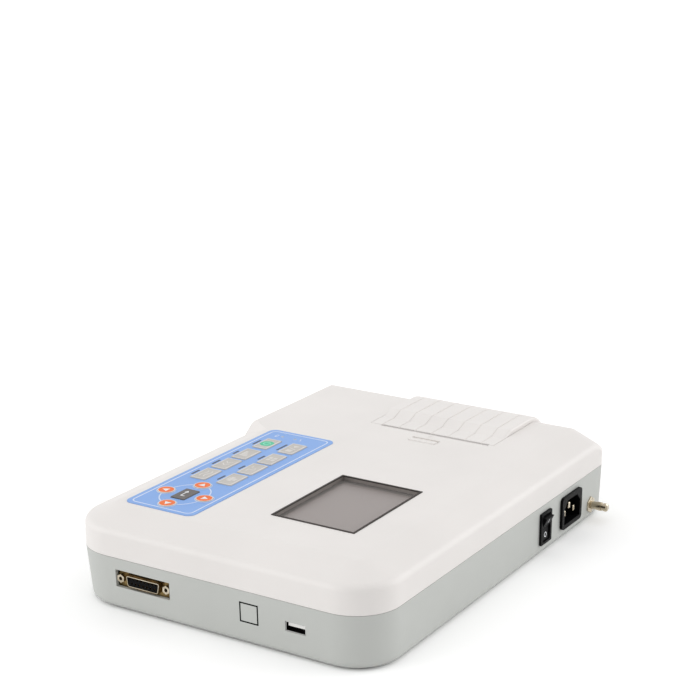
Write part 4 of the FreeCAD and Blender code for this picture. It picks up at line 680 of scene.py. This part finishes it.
earthNut = {"flats": 10.0, "seat": 0.2, "proud": 1.1, "edge": 0.25, "edgeFaces": 2, "lock": 4.0,
            "aside": 8.0}
nutLow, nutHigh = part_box("earth_nut")
nutMiddle = boxMiddle("earth_nut")
beside = (nutMiddle.x + earthNut["aside"] * mm, nutHigh.y + earthNut["aside"] * mm, nutMiddle.z)
wallY = onFace("base_shell", beside, (0, -1, 0)).translation.y
lockStart = (nutLow.y - wallY) / mm
toCorner = earthNut["flats"] / 2 / cos(pi / 6)  # from the middle
nuts = bmesh.new()
for start, end in ((-earthNut["seat"], earthNut["proud"]), (lockStart, lockStart + earthNut["lock"])):
    middle = (start + end) / 2
    made = bmesh.ops.create_cone(nuts, cap_ends=True, segments=6, radius1=toCorner, radius2=toCorner,
                                 depth=end - start, matrix=Matrix.Translation((0, 0, middle)))
    outer = [vert for vert in made["verts"] if vert.co.z > middle]
    edges = [edge for edge in nuts.edges if edge.verts[0] in outer and edge.verts[1] in outer]
    bmesh.ops.bevel(nuts, geom=edges, offset=earthNut["edge"], offset_type="OFFSET", affect="EDGES",
                    segments=earthNut["edgeFaces"], profile=0.5, material=-1)
nutPlace = Matrix.Translation((nutMiddle.x, wallY, nutMiddle.z)) @ facing((0, 1, 0))
postNuts = finishPiece("earth_post_nuts", nuts, nutPlace, nickelPlate, "case", 0)
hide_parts("earth_nut")
print("earth post finished")


# Lead socket: the dark shoulder of its shell, in painted shade, and inside it the folded edge, given a
# painted highlight

socketShoulder = {"width": 25.0, "height": 8.3, "slant": 1.45, "corner": 1.6, "drop": 0.0, "thick": 0.1}
socketRim = {"width": 24.3, "height": 6.5, "slant": 1.1, "corner": 1.3, "drop": 0.4, "wall": 0.45,
             "fold": 0.2}


def addSocketOutline(shape, look):
    corners = addBar(shape, 0, 0, look["width"], look["height"])
    lower = [vert for vert in corners if vert.co.y < 0]
    bmesh.ops.scale(shape, vec=(1 - 2 * look["slant"] / look["width"], 1, 1), verts=lower)
    bmesh.ops.translate(shape, vec=(0, -look["drop"], 0), verts=corners)
    roundCorners(shape, corners, look["corner"])


socketMiddle = boxMiddle("lead_socket_shell")
socketMouth = (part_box("lead_socket_shell")[1].x, socketMiddle.y, socketMiddle.z)
socketPlace = Matrix.Translation(socketMouth) @ facing((1, 0, 0))
shoulder = bmesh.new()
addSocketOutline(shoulder, socketShoulder)
addSocketOutline(shoulder, socketRim)
bmesh.ops.delete(shoulder, geom=shoulder.faces[:], context="FACES_ONLY")
bmesh.ops.bridge_loops(shoulder, edges=shoulder.edges[:])
finishPiece("lead_socket_shoulder", shoulder, socketPlace, shoulderPaintedShade, "case",
            socketShoulder["thick"])
# the folded edge takes the bright nickel as a painted highlight
rim = bmesh.new()
addSocketOutline(rim, socketRim)
keepBorder(rim, socketRim["wall"])
finishPiece("lead_socket_rim_highlight", rim, socketPlace, nickelPlate, "case", socketRim["fold"])
print("lead socket finished")


# Data socket: black sheets on its floor and cheeks, as painted shade inside the socket, and four contacts
# on its tongue

dataSocket = {"block": 4.0, "shadeSheet": 0.1, "mouth": 0.8, "contact": (7.0, 1.0),
              "places": (-3.5, -1.0, 1.0, 3.5)}
tongueLow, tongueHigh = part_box("usb_tongue")
tongueSize = boxSize("usb_tongue")
tongueMiddle = boxMiddle("usb_tongue")
shadeSheetLength = tongueSize.x - dataSocket["block"] + dataSocket["mouth"]
shadeSheetX = tongueHigh.x + (dataSocket["mouth"] - shadeSheetLength / 2) * mm
shadeSheet = bmesh.new()
addBar(shadeSheet, 0, 0, shadeSheetLength, tongueSize.y)
shadeSheetPlace = Matrix.Translation((shadeSheetX, tongueMiddle.y, tongueLow.z))
finishPiece("data_socket_floor_shade", shadeSheet, shadeSheetPlace, blackPbt, "case", dataSocket["shadeSheet"])
for side, y, lean in (("front", tongueLow.y, -90), ("rear", tongueHigh.y, 90)):
    cheek = bmesh.new()
    addBar(cheek, 0, 0, shadeSheetLength, tongueSize.z)
    cheekPlace = Matrix.Translation((shadeSheetX, y, tongueMiddle.z)) @ Matrix.Rotation(radians(lean), 4, "X")
    finishPiece("data_socket_cheek_shade_" + side, cheek, cheekPlace, blackPbt, "case",
                dataSocket["shadeSheet"])
contacts = bmesh.new()
for y in dataSocket["places"]:
    addBar(contacts, 0, y, *dataSocket["contact"])
contactX = tongueHigh.x - (dataSocket["contact"][0] / 2 + dataSocket["mouth"]) * mm
contactPlace = Matrix.Translation((contactX, tongueMiddle.y, tongueMiddle.z - dataSocket["shadeSheet"] * mm))
finishPiece("data_socket_contacts", contacts, contactPlace, goldContact, "case",
            dataSocket["shadeSheet"])
print("data socket finished")


# Black ring in the gap round the blanking plug, as painted shade in the gap

blankGapShade = {"size": (11.4, 11.1), "gap": 0.7, "lap": 0.2, "proud": 0.03, "height": 0.2, "beside": 10.0}
blankMiddle = boxMiddle("port_blank")
gapShade = bmesh.new()
addBar(gapShade, 0, 0, *[size + 2 * blankGapShade["gap"] for size in blankGapShade["size"]])
keepBorder(gapShade, blankGapShade["gap"] + blankGapShade["lap"])
start = (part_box("port_blank")[1].x + blankGapShade["beside"] * mm, blankMiddle.y, blankMiddle.z)
blankFace = onFace("port_blank", start, (-1, 0, 0))
gapShadePlace = blankFace @ Matrix.Translation((0, 0, (blankGapShade["proud"] - blankGapShade["height"]) * mm))
finishPiece("port_blank_gap_shade", gapShade, gapShadePlace, blackPbt, "case", blankGapShade["height"])
print("blank seal finished")


# Grip ribs under the battery cover, at the end where a thumb pushes it

gripRibs = {"count": 6, "pitch": 2.6, "width": 1.2, "length": 18.0, "corner": 0.54, "fromEnd": 6.0,
            "height": 0.4}
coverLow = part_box("battery_cover")[0]
ribs = bmesh.new()
for i in range(gripRibs["count"]):
    addRoundBar(ribs, i * gripRibs["pitch"], 0, gripRibs["width"], gripRibs["length"], gripRibs["corner"])
ribsX = coverLow.x + gripRibs["fromEnd"] * mm
ribsPlace = Matrix.Translation((ribsX, boxMiddle("battery_cover").y, coverLow.z))
finishPiece("battery_cover_ribs", ribs, ribsPlace, greyAbs, "case", -gripRibs["height"])
print("grip ribs finished")


# Chevrons moulded on the lid, on the side that the latch slides to

chevrons = {"places": (-5.6, -3.4), "reach": 1.6, "nib": (0.8, 0), "height": 0.15}
reach = chevrons["reach"]
marks = bmesh.new()
for x in chevrons["places"]:
    addStroke(marks, [(x + reach, -reach), (x, 0), (x + reach, reach)], chevrons["nib"])
marksPlace = Matrix.Translation((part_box("latch_frame")[0].x, boxMiddle("latch_frame").y,
                                 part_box("top_shell")[1].z))
finishPiece("latch_chevrons", marks, marksPlace, whiteAbs, "case", chevrons["height"])
print("latch chevrons finished")


# Floor and world: the camera, gloss and glass see them white, and other rays see plain light

def raysThatSee(tree):
    rays = addNode(tree, "ShaderNodeLightPath")
    either = addNode(tree, "ShaderNodeMath", {"operation": "MAXIMUM"},
                     {0: rays.outputs["Is Camera Ray"], 1: rays.outputs["Is Glossy Ray"]})
    anyOfThem = addNode(tree, "ShaderNodeMath", {"operation": "MAXIMUM"},
                        {0: either.outputs[0], 1: rays.outputs["Is Transmission Ray"]})
    return anyOfThem.outputs[0]


floorLook = {"colour": "#f2f2f2", "cameraColour": 1.2, "size": 12.0}
floorMaterial = bpy.data.materials.new("paintedStudioFloor")
floorMaterial.use_nodes = True
tree = floorMaterial.node_tree
tree.nodes.clear()
plain = addNode(tree, "ShaderNodeBsdfDiffuse", {"Color": linearColour(floorLook["colour"])})
bright = addNode(tree, "ShaderNodeBsdfDiffuse", {"Color": greyLevel(floorLook["cameraColour"])})
mixed = addNode(tree, "ShaderNodeMixShader",
                links={0: raysThatSee(tree), 1: plain.outputs[0], 2: bright.outputs[0]})
addNode(tree, "ShaderNodeOutputMaterial", links={"Surface": mixed.outputs[0]})

floorShape = bmesh.new()
bmesh.ops.create_grid(floorShape, x_segments=1, y_segments=1, size=floorLook["size"])
floor = addObject("studio_floor", meshFrom("studio_floor", floorShape, floorMaterial))

studio = {"lit": 0.60, "shown": 1.0, "suns": [  # name, direction, strength, spread in degrees
    ("overheadSun", (0.0, 0.0, 1.0), 0.54, 100),
    ("rightSun", (0.9, -1.0, 0.35), 1.15, 50),
    ("rearSun", (-1.0, 0.9, 0.35), 1.14, 50)]}
world = bpy.data.worlds.new("studioWorld")
bpy.context.scene.world = world
world.use_nodes = True
tree = world.node_tree
tree.nodes.clear()
lit = addNode(tree, "ShaderNodeBackground", {"Color": greyLevel(1.0), "Strength": studio["lit"]})
shown = addNode(tree, "ShaderNodeBackground", {"Color": greyLevel(1.0), "Strength": studio["shown"]})
mixed = addNode(tree, "ShaderNodeMixShader",
                links={0: raysThatSee(tree), 1: lit.outputs[0], 2: shown.outputs[0]})
addNode(tree, "ShaderNodeOutputWorld", links={"Surface": mixed.outputs[0]})

# Broad soft suns light the floor evenly out to the horizon
for name, comesFrom, strength, spread in studio["suns"]:
    sun = bpy.data.lights.new(name, "SUN")
    sun.energy = strength
    sun.angle = radians(spread)
    holder = addObject(name, sun)
    holder.rotation_euler = Vector(comesFrom).to_track_quat("Z", "Y").to_euler()
print("floor and light ready")


# Camera, where the photograph was taken from

viewpoint = {"place": (0.90538, 0.54273, 0.43312), "azimuth": 121.451, "elevation": 15.78, "roll": 0.109,
             "lens": 90.25, "sensor": 36.0, "clip": (0.01, 50.0)}
azimuth, elevation, roll = [radians(viewpoint[key]) for key in ("azimuth", "elevation", "roll")]
back = Vector((sin(azimuth) * cos(elevation), -cos(azimuth) * cos(elevation), sin(elevation)))
right = Vector((cos(azimuth), sin(azimuth), 0))
up = back.cross(right)
turn = Matrix((right * cos(roll) + up * sin(roll), up * cos(roll) - right * sin(roll), back)).transposed()
lens = bpy.data.cameras.new("photoCamera")
lens.lens = viewpoint["lens"]
lens.sensor_width = viewpoint["sensor"]
lens.clip_start, lens.clip_end = viewpoint["clip"]
camera = addObject("photoCamera", lens)
camera.matrix_world = Matrix.Translation(viewpoint["place"]) @ turn.to_4x4()
bpy.context.scene.camera = camera
bpy.context.scene.view_settings.view_transform = "Standard"
print("camera ready")
